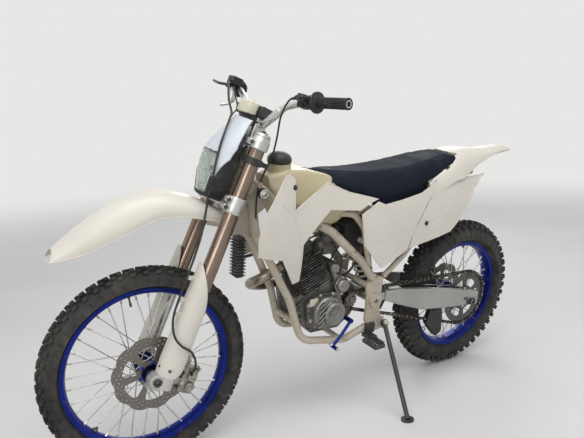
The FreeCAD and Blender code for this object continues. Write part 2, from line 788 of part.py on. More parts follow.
def frame_spars():
    """Head tube, two spars with their braces, pivot plates and cross tubes, welded as one."""
    head = rod(head_bottom, head_top, size.head_radius)
    cups = [rod(head_bottom, on_head(head_low + 10), size.head_radius + 4),
            rod(on_head(head_high - 10), head_top, size.head_radius + 4)]
    spar_start = on_head(head_low + 60, -8, 10)
    spar = tube([spar_start] + route(SPAR_ROUTE), size.spar_radius, 70)
    brace = tube(route(BRACE_ROUTE), size.spar_radius - 4, 60)
    plate = slab(PLATE_OUTLINE, size.plate_side, plate_outer, 9)
    boss_outer = plate_outer + 16
    boss = rod(pivot + Vector(0, size.plate_side, 0), pivot + Vector(0, boss_outer, 0), size.pivot_boss)
    guide = rod(on_head(guide_height - 16, -47, 66), on_head(guide_height, -47, 66), 7)
    guide_stay = rod(on_head(guide_height - 8, -47, 24), on_head(guide_height - 8, -47, 66), 3.5)
    cross_top = rod(Vector(602, -size.plate_side, 516), Vector(602, size.plate_side, 516), size.stay_radius)
    cross_shock = rod(Vector(627, -97, 690), Vector(627, 97, 690), size.stay_radius)
    shock_lug = slab([(588, 658), (640, 690), (627, 704), (588, 688)], shock_half + size.seat_gap,
                     shock_half + 8, 7)
    left = [spar, brace, plate, boss, shock_lug, guide, guide_stay]
    cross_brace = rod(Vector(690, -92, 806), Vector(690, 92, 806), size.stay_radius)
    face = eye_half + size.seat_gap
    lug = rod(stand_pivot - stand_axis * 24, stand_pivot - stand_axis * face, 15)
    lug_arm = slab([(512, 340), (535, 338), (540, 372), (512, 372)], plate_outer - 2, size.stand_side - 18)
    bolt = rod(stand_pivot - stand_axis * 12, stand_pivot + stand_axis * (face + 3), size.stand_bolt)
    bolt_head = rod(stand_pivot + stand_axis * face, stand_pivot + stand_axis * (face + 6), 10)
    middle = [cross_top, cross_shock, cross_brace, lug, lug_arm, bolt, bolt_head]
    pieces = left + [mirrored(piece) for piece in left] + middle + cups
    shape = head.multiFuse(pieces)
    shape = shape.cut(rod(on_head(head_low - 20), on_head(head_high + 20), head_bore))
    shaft_hole = size.pivot_shaft + size.seat_gap
    shape = shape.cut(rod(pivot - Vector(0, 200, 0), pivot + Vector(0, 200, 0), shaft_hole))
    pin_hole = rod(shock_top - Vector(0, 60, 0), shock_top + Vector(0, 60, 0), shock_pin + size.seat_gap)
    guide_hole = rod(on_head(guide_height - 40, -47, 66), on_head(guide_height + 20, -47, 66), 4)
    shape = shape.cut(pin_hole).cut(guide_hole).cut(mirrored(guide_hole))
    end = plate_outer + 18
    shaft = pipe(pivot - Vector(0, end, 0), pivot + Vector(0, end, 0), size.pivot_shaft, size.pivot_bore)
    return Part.makeCompound([shape, shaft])


shock_top = Vector(603, 0, 674)
shock_foot = Vector(466, 0, 372)
shock_half = 28
shock_pin = 6
eye_half = 10
spars_shape = frame_spars()


def frame_cradle():
    """Two down tubes that bend into the rails under the engine, with cross tubes."""
    top = on_head(head_high - 44, -8, 12)
    side = tube([top] + route(DOWN_ROUTE), size.cradle_radius, 75)
    cross_front = rod(Vector(902, -70, 410), Vector(902, 70, 410), size.stay_radius)
    cross_low = rod(Vector(700, -90, 307), Vector(700, 90, 307), size.stay_radius)
    gusset = rod(Vector(1052, -35, 735), Vector(1052, 35, 735), size.stay_radius)
    shape = side.multiFuse([mirrored(side), cross_front, cross_low, gusset])
    return shape.cut(spars_shape).cut(rod(head_bottom, head_top, size.head_radius))


cradle_shape = frame_cradle()


def subframe():
    """Seat rails and lower stays behind the main frame."""
    rail = tube(route(RAIL_ROUTE), size.stay_radius, 80)
    stay = tube(route(LOWER_STAY_ROUTE), size.stay_radius, 60)
    hoops = []
    for ahead, height, half in ((330, 868, 72), (90, 901, 67)):
        hoops.append(rod(Vector(ahead, -half, height), Vector(ahead, half, height), size.stay_radius - 2))
    shape = rail.multiFuse([stay, mirrored(rail), mirrored(stay)] + hoops)
    return shape.cut(spars_shape)


subframe_shape = subframe()
keep("frame_spars", spars_shape, BIKE)
keep("frame_cradle", cradle_shape, BIKE)
keep("subframe", subframe_shape, BIKE)


# Swingarm, shock and rear axle

BEAM_SECTIONS = [
    # ahead, centre side, half width, low, high
    (500, 90, 11, 430, 470),
    (430, 100, 13, 402, 468),
    (300, 104, 13, 354, 448),
    (120, 105, 13, 330, 410),
    (-38, 105, 12, 312, 372),
]


def swingarm():
    """Two tapered beams, a pivot tube and a cross beam."""
    wires = []
    for ahead, side, half, low, high in BEAM_SECTIONS:
        corners = [Vector(ahead, side - half, low), Vector(ahead, side + half, low),
                   Vector(ahead, side + half, high), Vector(ahead, side - half, high)]
        wires.append(rounded_outline(corners, 6))
    beam = Part.makeLoft(wires, True, True)
    arm_end = size.plate_side - 1
    neck = slab([(498, 434), (582, 437), (588, 453), (582, 467), (498, 466)], 56, arm_end, 5)
    cross = block(Vector(396, -100, 415), Vector(446, 100, 458))
    tube_across = rod(pivot - Vector(0, arm_end, 0), pivot + Vector(0, arm_end, 0), 19)
    pieces = [neck, cross, tube_across, mirrored(beam), mirrored(neck)]
    shape = beam.multiFuse(pieces)
    shaft_hole = size.pivot_shaft + size.seat_gap
    shape = shape.cut(rod(pivot - Vector(0, 120, 0), pivot + Vector(0, 120, 0), shaft_hole))
    slot = slab([(-24, 333 - 12), (30, 333 - 12), (30, 333 + 12), (-24, 333 + 12)], -130, 130, 5)
    return keep("swingarm", shape.cut(slot), BIKE)


beam_outer = 117


def rear_axle_set():
    """The hollow axle with its adjuster blocks and the spacers beside the hub."""
    end = beam_outer + 12
    shaft = rod(Vector(0, -end, 0), Vector(0, end, 0), size.axle_radius)
    block_outline = [(-22, -11.5), (28, -11.5), (28, 11.5), (-22, 11.5)]
    block_shape = slab(block_outline, beam_outer - 24, beam_outer + 4, 6)
    nut = rod(Vector(0, beam_outer + 4, 0), Vector(0, beam_outer + 11, 0), 15)
    spacer = rod(Vector(0, size.hub_half + 12 + size.seat_gap, 0), Vector(0, beam_outer - 24.8, 0),
                 size.axle_radius + 4)
    pieces = [block_shape, nut, spacer]
    shape = shaft.multiFuse(pieces + [mirrored(piece) for piece in pieces])
    shape = shape.cut(rod(Vector(0, -end, 0), Vector(0, end, 0), size.axle_bore))
    return keep("rear_axle", shape, REAR_WHEEL)


def along_shock(distance):
    return shock_foot + unit(shock_top - shock_foot) * distance


spring_low = 56
spring_turns = 7
spring_pitch = 27
spring_wire = 5
spring_radius = 32


def shock():
    """Damper with its spring seats and reservoir, and the rocker and struts at its foot."""
    length = (shock_top - shock_foot).Length
    low_seat = spring_low - spring_wire - size.seat_gap
    high_seat = spring_low + spring_turns * spring_pitch + spring_wire + size.seat_gap
    rows = [(0, 0), (0, 9), (low_seat - 8, 9), (low_seat - 8, 34), (low_seat, 36), (low_seat, 9),
            (140, 9), (140, 24), (high_seat, 24), (high_seat, 36), (high_seat + 8, 36), (high_seat + 8, 26),
            (length - 18, 26), (length - 14, 12), (length, 12), (length, 0)]
    damper = spun(rows, shock_foot, shock_top - shock_foot)
    eye = rod(shock_top - Vector(0, shock_half, 0), shock_top + Vector(0, shock_half, 0), 12)
    pin = rod(shock_top - Vector(0, 40, 0), shock_top + Vector(0, 40, 0), shock_pin)
    rocker = slab([(442, 350), (490, 352), (492, 378), (466, 388), (430, 372)], 8, 22, 6)
    strut = tube([Vector(438, 15, 364), Vector(420, 15, 392), Vector(420, 15, 415 - size.seat_gap)], 7, 20)
    return keep("shock", fused(damper, eye, pin, rocker, strut, mirrored(rocker), mirrored(strut)), BIKE)


def shock_spring():
    coil = Part.makeHelix(spring_pitch, spring_pitch * spring_turns, spring_radius)
    corners = [Vector(spring_radius + spring_wire * math.cos(math.radians(turn)), 0,
                      spring_wire * math.sin(math.radians(turn))) for turn in range(0, 360, 60)]
    spring = Part.Wire(coil).makePipeShell([Part.makePolygon(corners + corners[:1])], True, True)
    spring.Placement = Placement(along_shock(spring_low), Rotation(UP, shock_top - shock_foot))
    return keep("shock_spring", spring, BIKE)


swingarm()
rear_axle_set()
shock()
shock_spring()


def chain_guide():
    """A block round the chain's lower run, hung from the swingarm's left beam."""
    start, end = run_ends(-1)
    along = unit(end - start)
    away = Vector(-along.z, 0, along.x) * 10
    near = start + along * 60
    far = start + along * 320
    corners = [near - away, far - away, far + away, near + away]
    outer = slab([(128, 204), (158, 186), (190, 218), (226, 262), (208, 330), (146, 330), (132, 268)],
                 size.chain_side - 11, size.chain_side + 11, 8)
    room = chain_half_width + size.seat_gap
    passage = slab([(point.x, point.z) for point in corners], size.chain_side - room, size.chain_side + room)
    hanger = block(Vector(152, size.chain_side, 318), Vector(196, 91.2, 336))
    riser = block(Vector(152, 84, 318), Vector(196, 91.2, 380))
    return keep("chain_guide", fused(outer.cut(passage), hanger, riser), BIKE)


chain_guide()


# Engine

crank = Vector(size.crank_ahead, 0, size.crank_height)
tilt = Rotation(LEFT, size.cylinder_tilt)
cylinder_frame = Placement(crank, tilt)
CASE_OUTLINE = [(900, 500), (884, 410), (820, 345), (690, 340), (628, 385), (612, 440), (630, 510),
                (690, 545), (752, 552), (800, 545), (862, 552)]


def engine_case():
    """Crankcase and gearbox with the clutch cover on the right."""
    middle = slab(CASE_OUTLINE, -78, 50, 16)
    left = slab([(862, 480), (850, 400), (790, 362), (700, 372), (690, 440), (710, 500), (800, 505)],
                50, 72, 14)
    clutch = slab([(850, 470), (820, 380), (740, 350), (660, 380), (650, 450), (700, 520), (790, 520)],
                  -112, -78, 22)
    plug = rod(Vector(700, -124, 430), Vector(700, -112, 430), 16)
    neck = spun([(60, 0), (60, 52), (size.cylinder_low, 52), (size.cylinder_low, 0)], crank,
                tilt.multVec(UP))
    shape = middle.multiFuse([left, clutch, plug, neck])
    above_deck = Part.makeBox(200, 200, 300, Vector(-100, -100, size.cylinder_low))
    above_deck.Placement = cylinder_frame
    shape = shape.fuse(front_sprocket()).cut(above_deck).cut(spars_shape).cut(cradle_shape)
    return shape


def ignition_cover():
    """The round left cover, stepped, with slanting ribs on its front half."""
    centre = crank + Vector(-5, 0, -2)
    rows = [(72.3, 0), (72.3, 64), (94, 64), (104, 58), (112, 40), (112, 32), (108, 30), (108, 0)]
    cover = spun(rows, centre, LEFT)
    ribs = []
    for index in range(6):
        rib = block(Vector(14, 90, -42 + 15 * index), Vector(70, 111, -38 + 15 * index))
        rib.rotate(Vector(0, 0, 0), LEFT, 24)
        rib.translate(centre)
        ribs.append(rib)
    keeper = spun([(80, 0), (80, 63), (103.6, 58.3), (111.6, 47), (111.6, 0)], centre, LEFT)
    ribs = [rib.common(keeper) for rib in ribs]
    boss = spun([(107, 0), (107, 10), (112, 9), (112, 0)], centre, LEFT)
    return keep("ignition_cover", fused(cover, boss, *[rib for rib in ribs if rib.Volume > 1]), BIKE)


def fin_stack(first, top, count, core_radius, half_length, half_width):
    """Cooling fins with rounded corners on a round core, along the cylinder's axis."""
    core = Part.makeCylinder(core_radius, top - first, Vector(0, 0, first), UP)
    fins = []
    for index in range(count):
        height = first + index * size.fin_pitch
        corners = [Vector(half_length, half_width, height), Vector(-half_length, half_width, height),
                   Vector(-half_length, -half_width, height), Vector(half_length, -half_width, height)]
        fins.append(Part.Face(rounded_outline(corners, 14)).extrude(Vector(0, 0, size.fin_thickness)))
    return core.multiFuse(fins)


fin_count = 8
cylinder_top = size.cylinder_low + fin_count * size.fin_pitch
head_fins = 5
head_top_deck = cylinder_top + head_fins * size.fin_pitch


def cylinder():
    shape = fin_stack(size.cylinder_low + size.seat_gap, cylinder_top - size.seat_gap, fin_count, 50,
                      size.fin_half_length, size.fin_half_width)
    return keep("cylinder", shape, BIKE.multiply(cylinder_frame))


def cylinder_head():
    """Finned head with its ports, rocker box and plug boss."""
    fins = fin_stack(cylinder_top, head_top_deck - 4, head_fins, 52, size.fin_half_length - 2,
                     size.fin_half_width - 6)
    box_high = head_top_deck + 34
    base = [Vector(52, 40, head_top_deck - 12), Vector(-48, 40, head_top_deck - 12),
            Vector(-48, -40, head_top_deck - 12), Vector(52, -40, head_top_deck - 12)]
    roof = [Vector(42, 34, box_high), Vector(-40, 34, box_high), Vector(-40, -34, box_high),
            Vector(42, -34, box_high)]
    box = Part.makeLoft([rounded_outline(base, 10), rounded_outline(roof, 8)], True, True)
    caps = [rod(Vector(30, 0, box_high - 30), Vector(58, 0, box_high - 14), 16),
            rod(Vector(-28, 0, box_high - 30), Vector(-56, 0, box_high - 14), 16)]
    inlet = rod(Vector(-40, 0, cylinder_top + 22), Vector(-78, 0, cylinder_top + 30), 20)
    outlet = rod(Vector(40, -8, cylinder_top + 26), Vector(78, -12, cylinder_top + 24), 20)
    shape = fins.multiFuse([box, inlet, outlet] + caps)
    return keep("cylinder_head", shape, BIKE.multiply(cylinder_frame))


inlet_face = cylinder_frame.multVec(Vector(-78, 0, cylinder_top + 30))
inlet_way = cylinder_frame.Rotation.multVec(unit(Vector(-38, 0, 8)))
outlet_face = cylinder_frame.multVec(Vector(78, -12, cylinder_top + 24))
outlet_way = cylinder_frame.Rotation.multVec(unit(Vector(38, -4, -2)))


def starter_motor():
    """A drum lying across the top of the gearbox, with a stepped nose."""
    centre = Vector(700, 0, 596)
    rows = [(-44, 0), (-44, 26), (58, 26), (64, 22), (64, 10), (70, 9), (70, 0)]
    drum = spun(rows, centre, LEFT)
    nose = spun([(10, 0), (10, 15), (62, 15), (62, 0)], Vector(742, 0, 618), LEFT)
    foot = block(Vector(684, -30, 530), Vector(716, 30, 580)).cut(case_shape)
    web = block(Vector(704, 12, 588), Vector(742, 50, 620))
    return keep("starter_motor", fused(drum, nose, foot, web), BIKE)


def carburettor():
    """Mixing body, float bowl and rubber stubs between the head and the airbox."""
    reach = 92
    start = inlet_face + inlet_way * size.seat_gap
    rows = [(0, 0), (0, 24), (18, 24), (22, 20), (26, 20), (28, 27), (70, 27), (72, 20), (reach, 22),
            (reach, 0)]
    body = spun(rows, start, inlet_way)
    centre = start + inlet_way * 48
    bowl = block(centre + Vector(-20, -19, -58), centre + Vector(20, 19, -15))
    slide = rod(centre, centre + Vector(6, 0, 58), 17)
    return keep("carburettor", fused(body, bowl, slide), BIKE)


airbox_mouth = inlet_face + inlet_way * (92 + 2 * size.seat_gap)


def airbox():
    """The filter box between the side panels, its mouth on the carburettor's rear stub."""
    outline = [(airbox_mouth.x - 12, airbox_mouth.z - 30), (airbox_mouth.x - 2, airbox_mouth.z + 40),
               (590, 790), (400, 830), (345, 800), (372, 640), (450, 590)]
    shape = slab(outline, -62, 62, 12)
    snout = rod(airbox_mouth, airbox_mouth + inlet_way * 40, 30)
    clear_shock = rod(shock_foot, shock_top + unit(shock_top - shock_foot) * 60, 46)
    shape = fused(shape, snout).cut(clear_shock).cut(spars_shape)
    shape = shape.cut(rod(shock_top - Vector(0, 44, 0), shock_top + Vector(0, 44, 0), 22))
    shape = shape.cut(rod(inlet_face, airbox_mouth, 32))
    shape = max(shape.Solids, key=lambda solid: solid.Volume)
    return keep("airbox", shape, BIKE)


case_shape = engine_case()
keep("engine_case", case_shape, BIKE)
ignition_cover()
cylinder()
cylinder_head()
starter_motor()
carburettor()
airbox()


# Exhaust on the right

silencer_front = Vector(424, -152, 558)
silencer_rear = Vector(0, -156, 710)


def exhaust_header():
    start = outlet_face + outlet_way * size.seat_gap
    way = unit(silencer_rear - silencer_front)
    points = [start, start + outlet_way * 88, Vector(1014, -102, 520), Vector(900, -138, 482),
              Vector(740, -144, 500), Vector(560, -148, 512), silencer_front - way * 60, silencer_front]
    return keep("exhaust_header", tube(points, 19), BIKE)


def silencer():
    way = silencer_rear - silencer_front
    length = way.Length
    rows = [(0.3, 0), (0.3, 24), (60, 45), (length - 40, 45), (length, 32), (length, 18), (length - 30, 18),
            (length - 30, 0)]
    can = spun(rows, silencer_front, way)
    strap = block(Vector(318, -117, 620), Vector(342, -109.2, 716))
    lug = block(Vector(318, -142, 606), Vector(342, -109.2, 632))
    return keep("silencer", fused(can, strap, lug), BIKE)


exhaust_header()
silencer()


# Tank, seat and bodywork

def half_section(ahead, rows, radius):
    """A closed cross-section, mirrored left to right, from (side, height) rows of its left half."""
    left = [Vector(ahead, side, height) for side, height in rows]
    right = [Vector(ahead, -side, height) for side, height in reversed(rows)]
    return rounded_outline(left + right, radius)


TANK_SECTIONS = [
    # ahead, rows of (side, height) from the bottom round to the top
    (1030, [(26, 905), (52, 930), (34, 962)]),
    (965, [(66, 800), (104, 870), (50, 980)]),
    (880, [(80, 742), (124, 850), (52, 974)]),
    (760, [(80, 778), (118, 850), (48, 944)]),
    (640, [(60, 836), (92, 868), (40, 902)]),
]


tank_mouth = Vector(966, 0, 996)


def fuel_tank():
    shape = Part.makeLoft([half_section(ahead, rows, 22) for ahead, rows in TANK_SECTIONS], True, True)
    shape = shape.fuse(rod(tank_mouth - Vector(0, 0, 28), tank_mouth, 40))
    tunnel = []
    play = 3
    spar_start = on_head(head_low + 60, -8, 10)
    spar = tube([spar_start] + route(SPAR_ROUTE), size.spar_radius + play, 70)
    brace = tube(route(BRACE_ROUTE), size.spar_radius - 4 + play, 60)
    tunnel.extend([spar, mirrored(spar), brace, mirrored(brace)])
    tunnel.append(rod(Vector(690, -100, 806), Vector(690, 100, 806), size.stay_radius + play))
    tunnel.append(rod(on_head(head_low - 40), on_head(head_high + 40), size.head_radius + 4 + play))
    box_reach = head_top_deck + 44
    engine_room = Part.makeBox(150, 110, box_reach, Vector(-75, -55, 0))
    engine_room.Placement = cylinder_frame.multiply(engine_room.Placement)
    shape = shape.cut(Part.makeCompound(tunnel)).cut(engine_room)
    shape = max(shape.Solids, key=lambda solid: solid.Volume)
    return shape


tank_shape = fuel_tank()
keep("fuel_tank", tank_shape, BIKE)


def fuel_cap():
    rows = [(0.3, 0), (0.3, 44), (6, 49), (17, 48), (28, 38), (34, 22), (37, 8), (37, 0)]
    return keep("fuel_cap", spun(rows, tank_mouth, UP), BIKE)


fuel_cap()

SEAT_SECTIONS = [
    # ahead, half width low, height low, half width high, height high
    (892, 16, 966, 12, 977),
    (822, 60, 925, 34, 968),
    (738, 92, 884, 56, 959),
    (640, 112, 858, 74, 951),
    (574, 119, 846, 82, 951),
    (455, 121, 862, 88, 956),
    (296, 108, 902, 84, 977),
    (185, 84, 946, 70, 988),
    (150, 66, 962, 60, 984),
]


def seat_solid():
    """A crowned pad that lies on the tank, the spars and the seat rails."""
    wires = []
    for ahead, low_half, low, high_half, high in SEAT_SECTIONS:
        rows = [(low_half, low), (low_half, low + (high - low) * 0.3), (high_half, high)]
        wires.append(half_section(ahead, rows, 12))
    shape = Part.makeLoft(wires, True, True)
    for neighbour in (tank_shape, spars_shape, subframe_shape):
        shape = shape.cut(neighbour)
    return max(shape.Solids, key=lambda solid: solid.Volume)


seat_shape = seat_solid()
keep("seat", seat_shape, BIKE)

SHROUD_SECTIONS = [
    # ahead, rows of (height, side) from the bottom to the top
    (1175, [(560, 150), (700, 176), (800, 192), (880, 180), (1010, 128)]),
    (1060, [(560, 150), (700, 184), (800, 185), (900, 168), (1010, 126)]),
    (980, [(560, 146), (700, 168), (800, 164), (900, 144), (1010, 118)]),
    (860, [(560, 142), (700, 150), (800, 146), (900, 128), (1010, 100)]),
    (740, [(560, 138), (700, 140), (800, 136), (900, 118), (1010, 96)]),
    (590, [(560, 134), (700, 134), (800, 130), (900, 118), (1010, 96)]),
]
SHROUD_OUTLINE = [(1004, 988), (1024, 986), (1049, 962), (1090, 923), (1147, 864), (1158, 800), (1156, 747),
                  (1111, 733), (1057, 719), (1010, 640), (994, 615), (966, 621), (962, 751), (925, 782),
                  (882, 815), (835, 850), (690, 828), (603, 860), (740, 899), (841, 943), (920, 905),
                  (996, 872), (984, 968)]


def shrouds():
    wall = skin(SHROUD_SECTIONS, size.panel_thickness)
    panel = wall.common(slab(SHROUD_OUTLINE, 60, 240)).cut(seat_shape)
    bosses = [rod(Vector(984, 20, 936), Vector(984, 134, 936), 6),
              rod(Vector(650, 20, 846), Vector(650, 131, 846), 5)]
    bosses = [boss.cut(tank_shape).cut(spars_shape) for boss in bosses]
    bosses = [max(boss.Solids, key=lambda solid: solid.CenterOfMass.y) for boss in bosses]
    return keep("shrouds", pair(panel.multiFuse(bosses)), BIKE)


PANEL_SECTIONS = [
    (720, [(560, 136), (700, 136), (800, 130), (870, 122), (960, 112)]),
    (600, [(560, 138), (700, 140), (800, 134), (870, 123), (960, 112)]),
    (430, [(560, 136), (700, 142), (800, 136), (870, 124), (960, 104)]),
    (200, [(560, 128), (700, 136), (800, 128), (870, 112), (960, 92)]),
    (0, [(560, 118), (700, 124), (800, 116), (870, 104), (960, 84)]),
]
SIDE_OUTLINE = [(607, 852), (686, 812), (669, 695), (578, 595), (563, 597), (453, 647), (432, 716),
                (357, 829),
                (300, 900), (390, 862), (499, 846), (574, 838)]
NUMBER_OUTLINE = [(345, 835), (189, 890), (12, 902), (77, 840), (138, 756), (218, 688), (446, 652),
                  (426, 716)]


def side_panels():
    wall = skin(PANEL_SECTIONS, size.panel_thickness)
    panel = wall.common(slab(SIDE_OUTLINE, 60, 240))
    bosses = [rod(Vector(634, 111.2, 720), Vector(634, 137, 720), 6),
              rod(Vector(520, 86.8, 830), Vector(520, 128, 830), 6)]
    return keep("side_panels", pair(panel.multiFuse(bosses)), BIKE)


def number_panels():
    wall = skin(PANEL_SECTIONS, size.panel_thickness)
    panel = wall.common(slab(NUMBER_OUTLINE, 60, 240))
    boss = rod(Vector(300, 105.4, 737), Vector(300, 137, 737), 6)
    return keep("number_panels", pair(panel.fuse(boss)), BIKE)


shrouds()
side_panels()
number_panels()

REAR_FENDER_SECTIONS = [
    # ahead, rows of (side, height) of the left half, from the edge to the crown
    (345, [(131, 828), (126, 860), (115, 893), (92, 920), (0, 946)]),
    (230, [(122, 852), (116, 884), (104, 918), (80, 946), (0, 966)]),
    (140, [(111, 897), (105, 918), (92, 950), (64, 980), (0, 993)]),
    (15, [(76, 941), (73, 952), (61, 971), (40, 984), (0, 990)]),
    (-90, [(52, 962), (50, 968), (42, 977), (27, 983), (0, 986)]),
    (-225, [(26, 970), (24, 973), (19, 977), (11, 979), (0, 980)]),
]


def rear_fender():
    """The tail, whose sides run forward beside the seat, on two posts of the seat rails."""
    shape = arch(REAR_FENDER_SECTIONS, size.panel_thickness)
    posts = [rod(Vector(75, side, 900), Vector(75, side, 979), 6) for side in (-58, 58)]
    shape = shape.multiFuse(posts).cut(seat_shape).cut(subframe_shape)
    shape = shape.cut(slab(SIDE_OUTLINE, -200, 200)).cut(slab(NUMBER_OUTLINE, -200, 200))
    shape = max(shape.Solids, key=lambda solid: solid.Volume)
    return keep("rear_fender", shape, BIKE)


rear_fender()


# Small pieces on the chassis

def oil_cooler():
    """A finned radiator behind the right shroud, with a stay to the down tube."""
    fins = []
    core = block(Vector(1040, -122, 560), Vector(1066, -84, 712))
    for index in range(12):
        height = 566 + 12 * index
        fins.append(block(Vector(1034, -128, height), Vector(1074, -78, height + 3)))
    shape = core.multiFuse(fins)
    stay = rod(Vector(1040, -80, 640), Vector(1018, -46, 660), 6)
    return keep("oil_cooler", shape.fuse(stay).cut(cradle_shape), BIKE)


def horn():
    """A small round horn bolted to the left spar behind the head tube."""
    centre = Vector(1062, 54, 911)
    shell = spun([(-7, 0), (-7, 13), (-3, 18), (5, 18), (8, 12), (8, 0)], centre, LEFT)
    bolt = rod(centre + Vector(-3, -30, 6), centre + Vector(-3, -2, 6), 4).cut(spars_shape)
    return keep("horn", shell.fuse(max(bolt.Solids, key=lambda solid: solid.CenterOfMass.y)), BIKE)


def footpegs():
    """Toothed pegs on brackets of the pivot plates."""
    tray = block(Vector(594, 146, 308), Vector(642, 222, 322))
    hollow = block(Vector(604, 152, 300), Vector(632, 212, 330))
    arm = block(Vector(580, plate_outer + size.seat_gap, 312), Vector(616, 160, 326))
    foot = block(Vector(560, plate_outer + size.seat_gap, 320), Vector(604, plate_outer + 10, 360))
    teeth = []
    for index in range(6):
        side = 156 + 11 * index
        teeth.append(block(Vector(594, side, 318), Vector(604, side + 4, 330)))
        teeth.append(block(Vector(632, side, 318), Vector(642, side + 4, 330)))
    shape = tray.cut(hollow).multiFuse([arm, foot] + teeth)
    return keep("footpegs", pair(shape), BIKE)


def shift_lever():
    centre = Vector(688, 0, 396)
    boss = rod(centre + Vector(0, 72.3, 0), centre + Vector(0, 128, 0), 9)
    arm = tube([centre + Vector(0, 122, 0), Vector(740, 134, 352), Vector(786, 146, 326)], 6, 40)
    tip = rod(Vector(786, 142, 326), Vector(786, 176, 326), 7)
    return keep("shift_lever", fused(boss, arm, tip), BIKE)


def brake_pedal():
    root = Vector(590, -plate_outer - size.seat_gap, 372)
    boss = rod(root, root + Vector(0, -26, 0), 11)
    reach = [Vector(650, -138, 352), Vector(740, -150, 318), Vector(800, -150, 322)]
    arm = tube([root + Vector(0, -20, 0)] + reach, 6, 40)
    tip = block(Vector(784, -172, 318), Vector(820, -138, 330))
    return keep("brake_pedal", fused(boss, arm, tip), BIKE)


def disc_slot(radius, side, centre):
    """The space that a brake disc needs inside its caliper."""
    half = size.disc_thickness / 2 + 1.2
    return rod(centre + Vector(0, side - half, 0), centre + Vector(0, side + half, 0), radius + 2)


def rear_caliper():
    """Rear caliper on its bracket at the swingarm's right beam."""
    side = -size.rear_disc_side
    body = slab([(60, 384), (112, 396), (140, 430), (120, 466), (70, 456)], side - 20, side + 16, 8)
    bracket = block(Vector(64, -91.7, 378), Vector(110, side - 16, 404))
    shape = fused(body, bracket).cut(disc_slot(size.rear_disc_radius, side, rear_axle))
    return keep("rear_caliper", shape, BIKE)


oil_cooler()
horn()
footpegs()
shift_lever()
brake_pedal()
rear_caliper()


def side_stand():
    """Eye, leg and foot plate; the plate lies flat on the ground when parked."""
    eye = rod(stand_pivot - stand_axis * eye_half, stand_pivot + stand_axis * eye_half, 14)
    leg_end = stand_foot + ground_up * 9
    leg = rod(stand_pivot, leg_end, size.stand_radius)
    foot = rod(stand_foot, stand_foot + ground_up * 8, 24)
    shape = fused(eye, leg, foot)
    hole = rod(stand_pivot - stand_axis * 40, stand_pivot + stand_axis * 40,
               size.stand_bolt + size.running_gap)
    return keep("side_stand", shape.cut(hole), BIKE)


side_stand()


# Fork, in the fork frame

def fork_clamp(label, low, depth):
    """A clamp round both legs and the stem."""
    body = new_body(label)
    outline = sketch_on(body, "XY_Plane", label + "_outline")
    leg = "Sizes.leg_spacing / 2"
    rows = [
        ("Sizes.fork_offset + Sizes.tube_radius + 8", f"{leg} - 16"),
        ("Sizes.fork_offset + Sizes.tube_radius + 8", f"{leg} + 12"),
        ("Sizes.fork_offset + 14", f"{leg} + Sizes.tube_radius + 9"),
        ("Sizes.fork_offset - 18", f"{leg} + Sizes.tube_radius + 9"),
        ("Sizes.fork_offset - Sizes.tube_radius - 9", f"{leg} + 10"),
        ("Sizes.fork_offset - Sizes.tube_radius - 9", f"{leg} - 22"),
        ("-Sizes.stem_radius - 12", 14),
    ]
    mirror_rows = [(across, f"-({along})" if isinstance(along, str) else -along)
                   for across, along in reversed(rows)]
    front = [("Sizes.fork_offset + 6", -20), ("Sizes.fork_offset + 6", 20)]
    draw_polygon(outline, rows + mirror_rows + front)
    for sign in ("", "-"):
        draw_circle(outline, "Sizes.fork_offset", f"{sign}Sizes.leg_spacing / 2", "Sizes.tube_radius")
    pad = body.newObject("PartDesign::Pad", label + "_pad")
    pad.Profile = outline
    pad.setExpression("Length", depth)
    body.Tip = pad
    body.Placement = Placement(Vector(0, 0, low), Rotation())
    doc.recompute()
    return body.Shape


BAR_ROUTE = [(16, 0, 872), (14, 62, 876), (10, 150, 946), (0, 235, 974), (-36, 402, 1000)]


def bar_middle(radius):
    """The thick left half of the bar, through its clamp."""
    left = route(BAR_ROUTE)
    return tube(left[:2] + [left[1] + (left[2] - left[1]) * 0.8], radius, 20)


def lower_clamp():
    """The lower clamp with the stem through the head tube."""
    low = size.lower_clamp_low + size.lower_clamp_depth
    plate = fork_clamp("lower_plate", size.lower_clamp_low, "Sizes.lower_clamp_depth")
    stem = rod(Vector(0, 0, low - 10), Vector(0, 0, size.upper_clamp_low), size.stem_radius)
    return keep("lower_clamp", plate.fuse(stem), FORK)


riser_top = 892


def upper_clamp():
    """The upper clamp with the stem nut and the two risers that hold the bar."""
    deck = size.upper_clamp_low + size.upper_clamp_depth
    plate = fork_clamp("upper_plate", size.upper_clamp_low, "Sizes.upper_clamp_depth")
    nut = rod(Vector(0, 0, deck - 5), Vector(0, 0, deck + 10), 17)
    riser = block(Vector(-6, 32, deck - 5), Vector(38, 54, riser_top))
    riser = riser.cut(bar_middle(size.bar_middle_radius + 0.1))
    return keep("upper_clamp", plate.multiFuse([nut, riser, mirrored(riser)]), FORK)


lower_clamp()
upper_clamp()


def fork_tubes():
    """Upper tubes with their caps."""
    leg = pipe(Vector(size.fork_offset, leg_side, size.upper_tube_low),
               Vector(size.fork_offset, leg_side, size.fork_top), size.tube_radius,
               size.slider_radius + size.running_gap)
    cap = rod(Vector(size.fork_offset, leg_side, size.fork_top - 14),
              Vector(size.fork_offset, leg_side, size.fork_top), size.slider_radius + size.running_gap)
    return keep("fork_tubes", pair(fused(leg, cap)), FORK)


